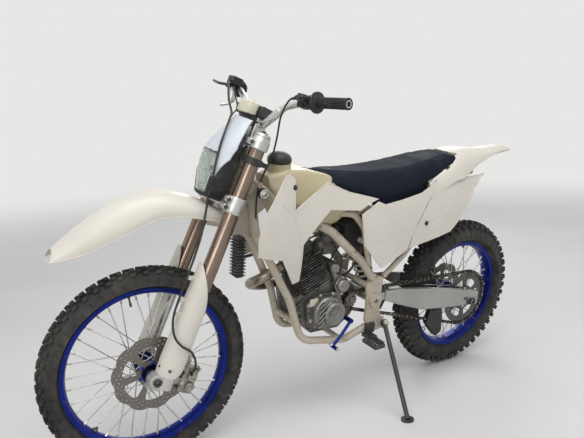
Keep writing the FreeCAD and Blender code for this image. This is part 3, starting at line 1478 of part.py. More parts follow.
def fork_sliders():
    """Lower tubes and the cast lugs that clamp the axle."""
    slider = rod(Vector(size.fork_offset, leg_side, 30),
                 Vector(size.fork_offset, leg_side, size.fork_top - size.tube_overlap),
                 size.slider_radius)
    lug = rod(Vector(size.fork_offset, leg_side, -18), Vector(size.fork_offset, leg_side, 32),
              size.slider_radius + 5)
    clamp = rod(Vector(axle_ahead, leg_side - 24, 0), Vector(axle_ahead, leg_side + 20, 0), 22)
    web = block(Vector(size.fork_offset, leg_side - 20, -20), Vector(axle_ahead, leg_side + 16, 22))
    shape = slider.multiFuse([lug, clamp, web])
    shape = shape.cut(rod(Vector(axle_ahead, 0, 0), Vector(axle_ahead, 200, 0), size.axle_radius))
    shape = shape.cut(rod(Vector(axle_ahead, leg_side + 19.9, 0), Vector(axle_ahead, 200, 0), 15))
    return keep("fork_sliders", pair(shape), FORK)


def front_axle_set():
    end = leg_side + 24
    shaft = rod(Vector(axle_ahead, -end, 0), Vector(axle_ahead, end, 0), size.axle_radius)
    spacer = rod(Vector(axle_ahead, size.hub_half + 12 + size.seat_gap, 0),
                 Vector(axle_ahead, leg_side - 24, 0), size.axle_radius + 4)
    head = rod(Vector(axle_ahead, leg_side + 20, 0), Vector(axle_ahead, end, 0), 14)
    shape = shaft.multiFuse([spacer, mirrored(spacer), head, mirrored(head)])
    shape = shape.cut(rod(Vector(axle_ahead, -end, 0), Vector(axle_ahead, end, 0), size.axle_bore))
    return keep("front_axle", shape, FORK)


GUARD_ROWS = [
    # height, ahead of the leg, half width, rear edge
    (382, 60, 30, 26),
    (300, 66, 38, 6),
    (160, 60, 38, 0),
    (70, 54, 36, 6),
    (38, 50, 32, 12),
]


def fork_guards():
    """White covers wrapped round the front and outer side of each slider."""
    wires = []
    for height, front, half, back in GUARD_ROWS:
        outer = [Vector(back - 18, leg_side + 40, height), Vector(front, leg_side + half * 0.72, height),
                 Vector(front + 8, leg_side, height), Vector(front, leg_side - half * 0.72, height),
                 Vector(back + 14, leg_side - 34, height)]
        inner = [Vector(back - 18, leg_side + 37, height),
                 Vector(front - 4, leg_side + half * 0.72 - 3, height), Vector(front + 5, leg_side, height),
                 Vector(front - 4, leg_side - half * 0.72 + 3, height),
                 Vector(back + 14, leg_side - 31, height)]
        wires.append(Part.makePolygon(outer + list(reversed(inner)) + outer[:1]))
    shape = Part.makeLoft(wires, True, True)
    seat = size.fork_offset + size.slider_radius + size.seat_gap
    spacers = [rod(Vector(seat, leg_side, height), Vector(front + 6, leg_side, height), 6)
               for height, front in ((70, 54), (240, 64))]
    return keep("fork_guards", pair(shape.multiFuse(spacers)), FORK)


FRONT_FENDER_SECTIONS = [
    # ahead, rows of (side, height) of the left half in the fork frame, from the edge to the crown
    (-30, [(52, 545), (46, 556), (28, 562), (0, 564)]),
    (60, [(66, 533), (60, 554), (36, 570), (0, 575)]),
    (150, [(76, 518), (70, 552), (44, 573), (0, 579)]),
    (230, [(78, 486), (71, 534), (44, 560), (0, 567)]),
    (320, [(72, 398), (67, 468), (44, 503), (0, 515)]),
    (400, [(60, 315), (56, 378), (38, 410), (0, 423)]),
    (478, [(38, 262), (34, 276), (22, 289), (0, 295)]),
]


def front_fender():
    shape = arch(FRONT_FENDER_SECTIONS, size.panel_thickness)
    pad_top = size.lower_clamp_low - size.seat_gap
    pads = [rod(Vector(8, side, 560), Vector(8, side, pad_top), 9) for side in (-24, 24)]
    return keep("front_fender", shape.multiFuse(pads), FORK)


fork_tubes()
fork_sliders()
front_axle_set()
fork_guards()
front_fender()


def front_caliper():
    """The caliper behind the left leg, straddling the disc."""
    side = size.front_disc_side
    centre = Vector(axle_ahead, 0, 0)
    body = slab([(-96, -34), (-56, -40), (-34, -10), (-34, 44), (-58, 62), (-92, 40)],
                side - 20, side + 24, 8)
    slot = pipe(centre + Vector(0, side - 5, 0), centre + Vector(0, side + 5, 0),
                size.front_disc_radius + 4, 5)
    arm = slab([(-60, -30), (20, -14), (20, 26), (-60, 40)], side + 10, leg_side - 18, 6)
    leg = rod(Vector(size.fork_offset, leg_side, -60), Vector(size.fork_offset, leg_side, 80),
              size.slider_radius + 5 + size.seat_gap)
    axle_clamp = rod(Vector(axle_ahead, 0, 0), Vector(axle_ahead, leg_side, 0), 22 + size.seat_gap)
    arm = arm.cut(leg).cut(axle_clamp)
    return keep("front_caliper", fused(body, arm).cut(slot), FORK)


front_caliper()


# Lamp, bars and controls, in the fork frame

MASK_SECTIONS = [
    # height, centre ahead, edge ahead, half width
    (873, 84, 52, 56),
    (800, 116, 74, 80),
    (735, 140, 84, 92),
    (665, 134, 98, 84),
    (596, 118, 90, 60),
]
MASK_OUTLINE = [(880, 57), (770, 86), (731, 88), (664, 68)]
LAMP_ROWS = [(740, 58), (690, 64), (606, 42)]
HOUSING_ROWS = [(830, 44), (760, 72), (690, 76), (630, 70), (594, 48)]


def cowl(sunk, thickness):
    """A curved wall that follows the cowl's face, its outer side sunk behind that face."""
    wires = []
    for height, centre, edge, half in MASK_SECTIONS:
        front = [Vector(edge - sunk, half, height), Vector(centre - sunk, 0, height),
                 Vector(edge - sunk, -half, height)]
        back = [point - Vector(thickness, 0, 0) for point in reversed(front)]
        wires.append(Part.Wire([
            Part.Arc(*front).toShape(), Part.LineSegment(front[2], back[0]).toShape(),
            Part.Arc(*back).toShape(), Part.LineSegment(back[2], front[0]).toShape()]))
    return Part.makeLoft(wires, True, False)


def front_prism(rows, corner):
    """A front-view outline, mirrored left to right from (height, half width) rows, run forward."""
    left = [Vector(0, half, height) for height, half in rows]
    right = [Vector(0, -half, height) for height, half in reversed(rows)]
    return Part.Face(rounded_outline(left + right, corner)).extrude(Vector(300, 0, 0))


def lamp_prism(shrink):
    rows = [(height - shrink * math.copysign(1, height - 670), half - shrink) for height, half in LAMP_ROWS]
    return front_prism(rows, 11)


def headlight_mask():
    """The cowl, which ends in a point on each side of the lamp."""
    shape = cowl(0, mask_thickness).common(front_prism(MASK_OUTLINE, 9)).cut(lamp_prism(-size.seat_gap))
    return keep("headlight_mask", shape, FORK)


mask_thickness = 4
lens_sunk = 2
lens_depth = 7
lamp_depth = 38
housing_back = 50


def headlight():
    """The lamp's glass, and the black housing that holds it, banded to the fork tubes."""
    lens = cowl(lens_sunk, lens_depth).common(lamp_prism(0))
    seat = cowl(0, lens_sunk + lens_depth + size.seat_gap).common(lamp_prism(-size.seat_gap))
    hollow = cowl(0, lamp_depth).common(lamp_prism(5))
    housing = cowl(mask_thickness + size.seat_gap, 120).common(front_prism(HOUSING_ROWS, 16))
    low_rim = cowl(0, 14).common(lamp_prism(-7))
    low_rim = low_rim.cut(front_prism([(900, 120), (664 - size.seat_gap, 120)], 0.1))
    behind = Part.makeBox(200, 300, 400, Vector(housing_back - 200, -150, 550))
    shell = housing.fuse(low_rim).cut(behind).cut(seat).cut(hollow)
    bands = []
    for side in (leg_side, -leg_side):
        low = Vector(size.fork_offset, side, 744)
        arm = block(Vector(size.fork_offset, min(side, side * 0.6), 748),
                    Vector(housing_back + 8, max(side, side * 0.6), 762))
        lug = block(Vector(-34, side - 4, 747), Vector(size.fork_offset, side + 4, 763))
        band = rod(low, low + Vector(0, 0, 22), size.tube_radius + 4).multiFuse([arm, lug])
        bands.append(band.cut(rod(low - Vector(0, 0, 20), low + Vector(0, 0, 60),
                                  size.tube_radius + size.seat_gap)))
    keep("headlight_lens", lens, FORK)
    return keep("headlight_shell", shell.multiFuse(bands), FORK)


headlight_mask()
headlight()


def handlebar():
    """A one-piece tapered bar: thick in the clamps, thin and hollow at the ends."""
    left = route(BAR_ROUTE)
    thin = tube(left, size.bar_radius, 60)
    thick = bar_middle(size.bar_middle_radius)
    shape = thin.multiFuse([mirrored(thin), thick, mirrored(thick)])
    way = unit(left[-1] - left[-2])
    bore = rod(left[-1] - way * 60, left[-1] + way * 5, size.bar_bore)
    shape = shape.cut(Part.makeCompound([bore, mirrored(bore)]))
    return keep("handlebar", shape, FORK)


grip_way = unit(Vector(*BAR_ROUTE[-1]) - Vector(*BAR_ROUTE[-2]))
bar_end = Vector(*BAR_ROUTE[-1])


def grips():
    """Ribbed sleeves with a flange at the inner end."""
    start = bar_end - grip_way * size.grip_length
    flange_radius = size.grip_radius + 7
    rows = [(0, size.bar_radius + 0.1), (0, flange_radius), (4, flange_radius), (5, size.grip_radius)]
    ribs = 9
    pitch = (size.grip_length - 12) / ribs
    for index in range(ribs):
        along = 6 + pitch * index
        rows.extend([(along + 3, size.grip_radius), (along + 4, size.grip_radius - 2),
                     (along + pitch - 3, size.grip_radius - 2), (along + pitch - 2, size.grip_radius)])
    rows.extend([(size.grip_length, size.grip_radius + 1), (size.grip_length, size.bar_radius + 0.1)])
    shape = spun(rows, start, grip_way)
    return keep("grips", pair(shape), FORK)


def control_perch(length):
    """A perch clamped on the bar inside the grip, with its lever."""
    at = bar_end - grip_way * (size.grip_length + 18)
    collar = pipe(at - grip_way * 11, at + grip_way * 11, size.bar_radius + 9, size.bar_radius + 0.1)
    arm = block(at + Vector(10, -16, -12), at + Vector(46, 14, 10))
    arm = arm.cut(rod(at - grip_way * 40, at + grip_way * 40, size.bar_radius + 5))
    root = at + Vector(42, 0, -2)
    lever = tube([root, root + Vector(16, length * 0.35, -4), root + Vector(-2, length, 6)], 5, 60)
    return fused(collar, arm, lever)


def controls():
    """Clutch perch on the left, brake perch with its fluid box on the right."""
    right = mirrored(control_perch(150))
    at = bar_end - grip_way * (size.grip_length + 18)
    at = Vector(at.x, -at.y, at.z)
    box = block(at + Vector(16, -4, 4), at + Vector(52, 46, 30))
    return keep("controls", Part.makeCompound([control_perch(60), fused(right, box)]), FORK)


def instrument():
    """The small display and key panel ahead of the bar's middle, and the pad over the bar clamps."""
    body = slab([(40, 892), (72, 884), (78, 912), (58, 930), (38, 922)], -46, 46, 6)
    foot = block(Vector(38 + size.seat_gap, -54, 864), Vector(52, 54, 893))
    low = riser_top + size.seat_gap
    bar_room = bar_middle(size.bar_middle_radius + size.seat_gap)
    pad = slab([(2, low), (40, low), (44, 928), (8, 918)], -80, 80, 5)
    cover = pad.cut(bar_room).cut(mirrored(bar_room))
    return keep("instrument", body.multiFuse([foot, cover]), FORK)


handlebar()
grips()
controls()
instrument()

BRAKE_HOSE = [(50.2, -238, 990), (98, -140, 962), (140, -60, 925), (166, 20, 850), (178, 78, 760),
              (170, 116, 660), (142, 142, 560), (116, 152, 460), (104, 156, 350), (98, 154, 250),
              (80, 156, 160), (30, 160, 96), (-34, 150, 78), (-66, 112, 62), (-66, 80.2, 30)]


def bend_radii(points):
    bends = []
    for before, corner, after in zip(points, points[1:], points[2:]):
        half_turn = (math.pi - (before - corner).getAngle(after - corner)) / 2
        bends.append(0.45 * min((before - corner).Length, (after - corner).Length) / math.tan(half_turn))
    return [round(bend) for bend in bends]


def cord(label, points, radius, place):
    """A cable or hose; prints the radius of each bend."""
    print(label, "bend radii", bend_radii(points))
    return keep(label, tube(points, radius), place)


front_hose = cord("front_brake_hose", route(BRAKE_HOSE), 4, FORK)

BAR_CABLE = [(34, 244, 978), (36, 204, 962), (20, 162, 914), (-14, 126, 850), (-36, 102, 790)]


def bar_cables():
    """Clutch cable on the left and throttle cable on the right, each down to its guide on the frame."""
    cables = []
    for side in (1, -1):
        guide = [FORK.inverse().multVec(BIKE.multVec(on_head(height, -47, side * 66)))
                 for height in (guide_height + 36, guide_height)]
        points = [Vector(ahead, side * left, height) for ahead, left, height in BAR_CABLE] + guide
        print("bar_cables bend radii", bend_radii(points))
        cables.append(tube(points, 3))
    return keep("bar_cables", Part.makeCompound(cables), FORK)


bar_cables()


# Stand the machine on its origin and write each sub-part

def check_and_write():
    doc.recompute()
    total = FreeCAD.BoundBox()
    for obj in doc.Objects:
        if "Invalid" in obj.State or "Error" in obj.State:
            raise ValueError(f"{obj.Label} did not compute")
    for part in PARTS:
        if part.Shape.isNull() or not part.Shape.isValid():
            raise ValueError(f"{part.Label} has no valid shape")
        total.add(part.Shape.optimalBoundingBox(False, False))
    shift = Vector(-total.Center.x, -total.Center.y, -total.ZMin)
    for part in PARTS:
        part.Placement = Placement(shift, Rotation()).multiply(part.Placement)
    doc.recompute()
    os.makedirs("parts", exist_ok=True)
    for part in PARTS:
        part.Shape.exportStep(f"parts/{part.Label}.step")
    return shift


shift = check_and_write()
print("sub-parts", len(PARTS), "shift", shift)
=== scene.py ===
import json
import math

import bmesh
import bpy
from mathutils import Matrix, Vector
from mathutils.geometry import tessellate_polygon


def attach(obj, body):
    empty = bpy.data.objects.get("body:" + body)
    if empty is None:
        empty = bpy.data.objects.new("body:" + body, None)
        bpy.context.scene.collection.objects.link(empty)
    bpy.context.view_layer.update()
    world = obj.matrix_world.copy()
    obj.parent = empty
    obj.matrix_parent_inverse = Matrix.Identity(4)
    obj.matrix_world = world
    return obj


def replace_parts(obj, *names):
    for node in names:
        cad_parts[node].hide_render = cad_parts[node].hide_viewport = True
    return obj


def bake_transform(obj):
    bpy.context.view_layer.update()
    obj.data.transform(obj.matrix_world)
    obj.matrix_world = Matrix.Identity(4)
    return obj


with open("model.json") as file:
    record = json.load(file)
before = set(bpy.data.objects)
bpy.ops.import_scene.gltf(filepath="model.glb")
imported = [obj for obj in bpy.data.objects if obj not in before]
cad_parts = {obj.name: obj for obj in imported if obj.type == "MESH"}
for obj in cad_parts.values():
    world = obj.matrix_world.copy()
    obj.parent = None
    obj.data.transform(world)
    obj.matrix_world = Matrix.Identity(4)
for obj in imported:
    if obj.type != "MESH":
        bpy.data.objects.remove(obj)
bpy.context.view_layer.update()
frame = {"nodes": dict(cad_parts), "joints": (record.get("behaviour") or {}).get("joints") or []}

# Looks of a parked off-road motorcycle: finishes for every CAD node, and detailed pieces that stand
# for tyres, spokes, discs, chain, seat, bars, fork legs, clamps, covers and cables.
# Lengths of the finishes, the floor, the lamps and the seat's mesh are in m. All other lengths are in
# mm, in one of three frames of reference that repeat the CAD model's own, with X forward, Y left, Z up:
#   bike    upright machine, origin on the ground under the rear axle
#   fork    Z along the steering axis, origin level with the front axle; head is the same on the
#           frame, with the steering straight
#   wheels  origin at the wheel's centre, Y along its axle

HEAD_ANGLE = math.radians(22.9)
HEAD_ORIGIN = (1395.89, 0, 325.83)
AXLE_AHEAD = 54.4
REAR_AXLE_HEIGHT = 333
TO_METRES = Matrix.Scale(0.001, 4)
# For points that are already in the world, in m
WORLD = Matrix()
AHEAD, BACK = (1, 0, 0), (-1, 0, 0)
LEFT, UP, DOWN = (0, 1, 0), (0, 0, 1), (0, 0, -1)


# Frames of reference, from the joints

def joint_line(name):
    joint = next(row for row in frame["joints"] if row["name"] == name)
    return Vector(joint["pos_m"]), Vector(joint["axis"]).normalized()


def placement(origin, forward, left, up):
    matrix = Matrix((forward, left, up)).transposed().to_4x4()
    matrix.translation = origin
    return matrix


def moved(ahead, left, up):
    return Matrix.Translation((ahead, left, up))


def spun(turn):
    return Matrix.Rotation(turn, 4, "Y")


def bike_placement():
    """The rear axle gives Y, and the steering axis leans back from Z by the head angle."""
    rear, left = joint_line("rear_wheel_spin")
    _, steering = joint_line("steering")
    across = left.cross(steering)
    forward = across * math.cos(HEAD_ANGLE) - steering * math.sin(HEAD_ANGLE)
    up = across * math.sin(HEAD_ANGLE) + steering * math.cos(HEAD_ANGLE)
    return placement(rear, forward, left, up) @ TO_METRES @ moved(0, 0, -REAR_AXLE_HEIGHT)


def fork_placement():
    axle, left = joint_line("front_wheel_spin")
    _, up = joint_line("steering")
    return placement(axle, left.cross(up), left, up) @ TO_METRES @ moved(-AXLE_AHEAD, 0, 0)


BIKE = bike_placement()
TO_BIKE = BIKE.inverted()
FORK = fork_placement()
HEAD = BIKE @ moved(*HEAD_ORIGIN) @ spun(-HEAD_ANGLE)
FRONT_WHEEL = FORK @ moved(AXLE_AHEAD, 0, 0)
REAR_WHEEL = BIKE @ moved(0, 0, REAR_AXLE_HEIGHT)

# Turns a form that was built along Y so that it stands along Z
UPRIGHT = Matrix.Rotation(math.radians(90), 4, "X")


def millimetres(place, ahead, left, up):
    """A point given in millimetres in one of the frames of reference."""
    return place @ Vector((ahead, left, up))


def direction(place, ahead, left, up):
    return (place.to_3x3() @ Vector((ahead, left, up))).normalized()


def beside(point, side):
    """The point on the left (side 1), or its mirror image on the right."""
    return Vector((point[0], side * point[1], point[2]))


def aimed(origin, way):
    """A placement whose Y axis points the given way."""
    matrix = Vector(LEFT).rotation_difference(Vector(way)).to_matrix().to_4x4()
    matrix.translation = Vector(origin)
    return matrix


def on_bike(at, way):
    """A placement at a point of the bike's frame whose Y axis points a way of that frame."""
    return aimed(millimetres(BIKE, *at), direction(BIKE, *way)) @ TO_METRES


# Node graphs of the finishes

class Graph:
    """The nodes of one material; each call adds a node and returns the socket that it gives."""

    def __init__(self, name):
        self.material = bpy.data.materials.new(name)
        self.material.use_nodes = True
        self.tree = self.material.node_tree
        self.shader = self.tree.nodes["Principled BSDF"]
        self.place = self.node("ShaderNodeTexCoord").outputs["Object"]

    def node(self, kind, inputs=None, **settings):
        made = self.tree.nodes.new(kind)
        for key, value in settings.items():
            setattr(made, key, value)
        for key, value in (inputs or {}).items():
            self.feed(made.inputs[key], value)
        return made

    def feed(self, socket, value):
        if isinstance(value, bpy.types.NodeSocket):
            self.tree.links.new(value, socket)
        else:
            socket.default_value = value

    def set(self, **sockets):
        """Feeds the shader's own sockets; an underscore in a name stands for a space."""
        for key, value in sockets.items():
            self.feed(self.shader.inputs[key.replace("_", " ")], value)

    def noise(self, scale, detail=4.0, roughness=0.55, place=None):
        inputs = {"Vector": place or self.place, "Scale": scale, "Detail": detail, "Roughness": roughness}
        return self.node("ShaderNodeTexNoise", inputs).outputs["Fac"]

    def stretched(self, scale, turn=(0, 0, 0)):
        inputs = {"Vector": self.place, "Scale": scale, "Rotation": turn}
        return self.node("ShaderNodeMapping", inputs).outputs["Vector"]

    def maths(self, operation, first, second=0.5, clamp=False):
        made = self.node("ShaderNodeMath", {0: first, 1: second}, operation=operation, use_clamp=clamp)
        return made.outputs["Value"]

    def remap(self, value, low, high, to_low=0.0, to_high=1.0):
        """Smooth step from to_low at low to to_high at high."""
        inputs = {"Value": value, "From Min": low, "From Max": high, "To Min": to_low, "To Max": to_high}
        return self.node("ShaderNodeMapRange", inputs, interpolation_type="SMOOTHSTEP").outputs["Result"]

    def mix(self, share, first, second):
        made = self.node("ShaderNodeMix", {0: share, 6: first, 7: second}, data_type="RGBA")
        return made.outputs[2]

    def bump(self, height, depth, normal=None):
        inputs = {"Height": height, "Strength": 1.0, "Distance": depth}
        if normal is not None:
            inputs["Normal"] = normal
        return self.node("ShaderNodeBump", inputs).outputs["Normal"]

    def rounded_edge(self, radius):
        return self.node("ShaderNodeBevel", {"Radius": radius}, samples=4).outputs["Normal"]

    def edge_mask(self, radius):
        """One along outer edges, where the rounded normal leaves the face's own."""
        own = self.node("ShaderNodeNewGeometry").outputs["Normal"]
        dot = self.node("ShaderNodeVectorMath", {0: self.rounded_edge(radius), 1: own},
                        operation="DOT_PRODUCT")
        return self.remap(dot.outputs["Value"], 0.995, 0.9)


def opaque(colour):
    return (*colour, 1.0)


def shaded(colour, share):
    """The colour made lighter (share above 1) or darker (below 1)."""
    return opaque([min(1.0, channel * share) for channel in colour])


DUST = (0.23, 0.205, 0.17)
GRIME = (0.035, 0.03, 0.025)
BARE_METAL = (0.52, 0.51, 0.49)


def dusty(share, amount, scale):
    """A stain of dust: how light it is, how much it covers and the scale of its patches."""
    return shaded(DUST, share)[:3], amount, scale


def stained(graph, base, rough, colour, amount, scale):
    mask = graph.remap(graph.noise(scale, 8.0, 0.68), 0.72 - 0.4 * amount, 0.86 - 0.4 * amount)
    rough = graph.maths("ADD", rough, graph.maths("MULTIPLY", mask, 0.22), clamp=True)
    return graph.mix(mask, base, opaque(colour)), rough


def scratched(graph, base, rough, colour, amount):
    lines = graph.noise(26.0, 3.0, 0.5, graph.stretched((1.0, 9.0, 22.0), (0.4, 0.9, 0.2)))
    mask = graph.remap(lines, 0.74 - 0.1 * amount, 0.78 - 0.1 * amount)
    mask = graph.maths("MULTIPLY", mask, 0.55 * amount)
    rough = graph.maths("ADD", rough, graph.maths("MULTIPLY", mask, 0.3), clamp=True)
    return graph.mix(mask, base, shaded(colour, 0.55)), rough


def rubbed_edges(graph, base, colour, radius):
    rubbed = graph.maths("MULTIPLY", graph.edge_mask(radius), graph.remap(graph.noise(55.0), 0.42, 0.6))
    return graph.mix(rubbed, base, opaque(colour))


def worn(name, colour, roughness, metallic=0.0, tone=0.1, grain=None, stain=None, scratch=0.0,
         wear=None, edge=None, **sockets):
    """A finish with uneven tone, fine grain, stains in patches, scratches and worn edges.

    grain: (scale, depth) of the surface's fine relief; stain: (colour, amount, scale);
    wear: (colour, edge radius) of what shows where the finish has rubbed off; edge: radius of the
    soft edges of a finish without wear.
    """
    graph = Graph(name)
    cloud = graph.remap(graph.noise(7.0, 5.0), 0.3, 0.7)
    base = graph.mix(cloud, shaded(colour, 1 - tone), shaded(colour, 1 + tone))
    rough = graph.remap(graph.noise(31.0), 0.3, 0.7, max(0.04, roughness - 0.07), min(1.0, roughness + 0.08))
    if stain:
        base, rough = stained(graph, base, rough, *stain)
    if scratch:
        base, rough = scratched(graph, base, rough, colour, scratch)
    normal = graph.rounded_edge(edge) if edge else None
    if wear:
        base = rubbed_edges(graph, base, *wear)
        normal = graph.rounded_edge(wear[1] * 0.6)
    if grain:
        scale, depth = grain
        normal = graph.bump(graph.noise(scale, 6.0, 0.6), depth, normal)
    graph.set(Base_Color=base, Roughness=rough, Metallic=metallic, **sockets)
    if normal is not None:
        graph.set(Normal=normal)
    return graph.material


def turned_metal(name, colour, centre, axis, roughness, ring_scale):
    """Metal with fine rings round an axis, as a lathe or a brake pad leaves."""
    graph = Graph(name)
    offset = graph.node("ShaderNodeVectorMath", {0: graph.place, 1: centre}, operation="SUBTRACT")
    across = graph.node("ShaderNodeVectorMath", {0: offset.outputs["Vector"], 1: axis},
                        operation="CROSS_PRODUCT")
    distance = graph.node("ShaderNodeVectorMath", {0: across.outputs["Vector"]}, operation="LENGTH")
    rings = graph.node("ShaderNodeTexNoise", {"W": distance.outputs["Value"], "Scale": ring_scale,
                                              "Detail": 5.0}, noise_dimensions="1D").outputs["Fac"]
    patches = graph.noise(19.0, 6.0)
    base = graph.mix(graph.remap(rings, 0.3, 0.7), shaded(colour, 0.8), shaded(colour, 1.15))
    base = graph.mix(graph.remap(patches, 0.56, 0.72), base, shaded(DUST, 0.8))
    rough = graph.remap(rings, 0.3, 0.7, roughness - 0.06, roughness + 0.12)
    graph.set(Base_Color=base, Roughness=rough, Metallic=0.95, Normal=graph.bump(rings, 0.00008))
    return graph.material


def tyre_rubber():
    """Black rubber, grey with dried dust on its faces and in its corners."""
    graph = Graph("tyre_rubber")
    dust = graph.maths("MULTIPLY", graph.remap(graph.noise(14.0, 9.0, 0.7), 0.38, 0.66), 0.75)
    speckle = graph.maths("MULTIPLY", graph.remap(graph.noise(420.0, 3.0), 0.55, 0.7), 0.35)
    base = graph.mix(dust, opaque((0.014, 0.014, 0.015)), opaque((0.09, 0.083, 0.072)))
    base = graph.mix(speckle, base, opaque((0.15, 0.14, 0.12)))
    relief = graph.bump(graph.noise(260.0, 6.0), 0.0004)
    graph.set(Base_Color=base, Roughness=graph.remap(dust, 0.0, 0.6, 0.62, 0.95), Normal=relief,
              Specular_IOR_Level=0.35)
    return graph.material


def seat_vinyl():
    """Navy gripper cover: a pebbled grain under a fine weave, greyed where it is rubbed."""
    graph = Graph("seat_vinyl")
    rubbed = graph.remap(graph.noise(9.0, 6.0), 0.45, 0.75, 0.0, 0.5)
    base = graph.mix(rubbed, opaque((0.003, 0.006, 0.014)), opaque((0.007, 0.011, 0.022)))
    dust = graph.maths("MULTIPLY", graph.remap(graph.noise(60.0, 8.0, 0.7), 0.6, 0.8), 0.16)
    base = graph.mix(dust, base, opaque((0.07, 0.07, 0.07)))
    pebbles = graph.node("ShaderNodeTexVoronoi", {"Vector": graph.place, "Scale": 620.0},
                         feature="SMOOTH_F1").outputs["Distance"]
    relief = graph.bump(pebbles, 0.0005)
    relief = graph.bump(graph.noise(1500.0, 2.0), 0.0001, relief)
    graph.set(Base_Color=base, Roughness=graph.remap(rubbed, 0.0, 0.5, 0.8, 0.66), Normal=relief,
              Specular_IOR_Level=0.22)
    return graph.material


def heat_tinted_steel():
    """Header pipe: straw and brown near the head, dull grey-brown and dusty behind."""
    graph = Graph("heat_tinted_steel")
    tint = graph.noise(5.0, 3.0)
    base = graph.mix(graph.remap(tint, 0.35, 0.6), opaque((0.36, 0.31, 0.25)), opaque((0.2, 0.135, 0.09)))
    base = graph.mix(graph.remap(graph.noise(21.0), 0.6, 0.75), base, opaque((0.13, 0.1, 0.13)))
    base = graph.mix(graph.remap(graph.noise(38.0, 8.0), 0.55, 0.75), base, shaded(DUST, 0.6))
    graph.set(Base_Color=base, Roughness=graph.remap(tint, 0.3, 0.7, 0.3, 0.5), Metallic=0.9,
              Normal=graph.bump(graph.noise(300.0), 0.00012))
    return graph.material


def tank_plastic():
    """Natural polyethylene, yellowed, with light passing a little way into it."""
    graph = Graph("tank_plastic")
    cloud = graph.remap(graph.noise(4.0, 4.0), 0.35, 0.7)
    base = graph.mix(cloud, opaque((0.41, 0.35, 0.215)), opaque((0.52, 0.46, 0.31)))
    dirt = graph.maths("MULTIPLY", graph.remap(graph.noise(34.0, 8.0, 0.7), 0.58, 0.75), 0.4)
    base = graph.mix(dirt, base, opaque((0.36, 0.31, 0.22)))
    graph.set(Base_Color=base, Roughness=graph.remap(graph.noise(40.0), 0.3, 0.7, 0.3, 0.45),
              Subsurface_Weight=0.15, Subsurface_Radius=(0.012, 0.009, 0.005), Subsurface_Scale=1.0,
              Normal=graph.bump(graph.noise(150.0, 4.0), 0.00015))
    return graph.material


def lamp_glass():
    """Clear moulded lens with upright flutes."""
    graph = Graph("lamp_glass")
    flutes = graph.node("ShaderNodeTexWave", {"Vector": graph.place, "Scale": 26.0}, bands_direction="Y")
    haze = graph.remap(graph.noise(60.0, 6.0), 0.4, 0.8, 0.07, 0.16)
    graph.set(Base_Color=(0.78, 0.84, 0.79, 1.0), Roughness=haze, Transmission_Weight=0.92, IOR=1.42,
              Coat_Weight=0.6, Coat_Roughness=0.06, Normal=graph.bump(flutes.outputs["Fac"], 0.00022))
    return graph.material


front_centre, front_axis = joint_line("front_wheel_spin")
rear_centre, rear_axis = joint_line("rear_wheel_spin")

WHITE = (0.64, 0.60, 0.53)
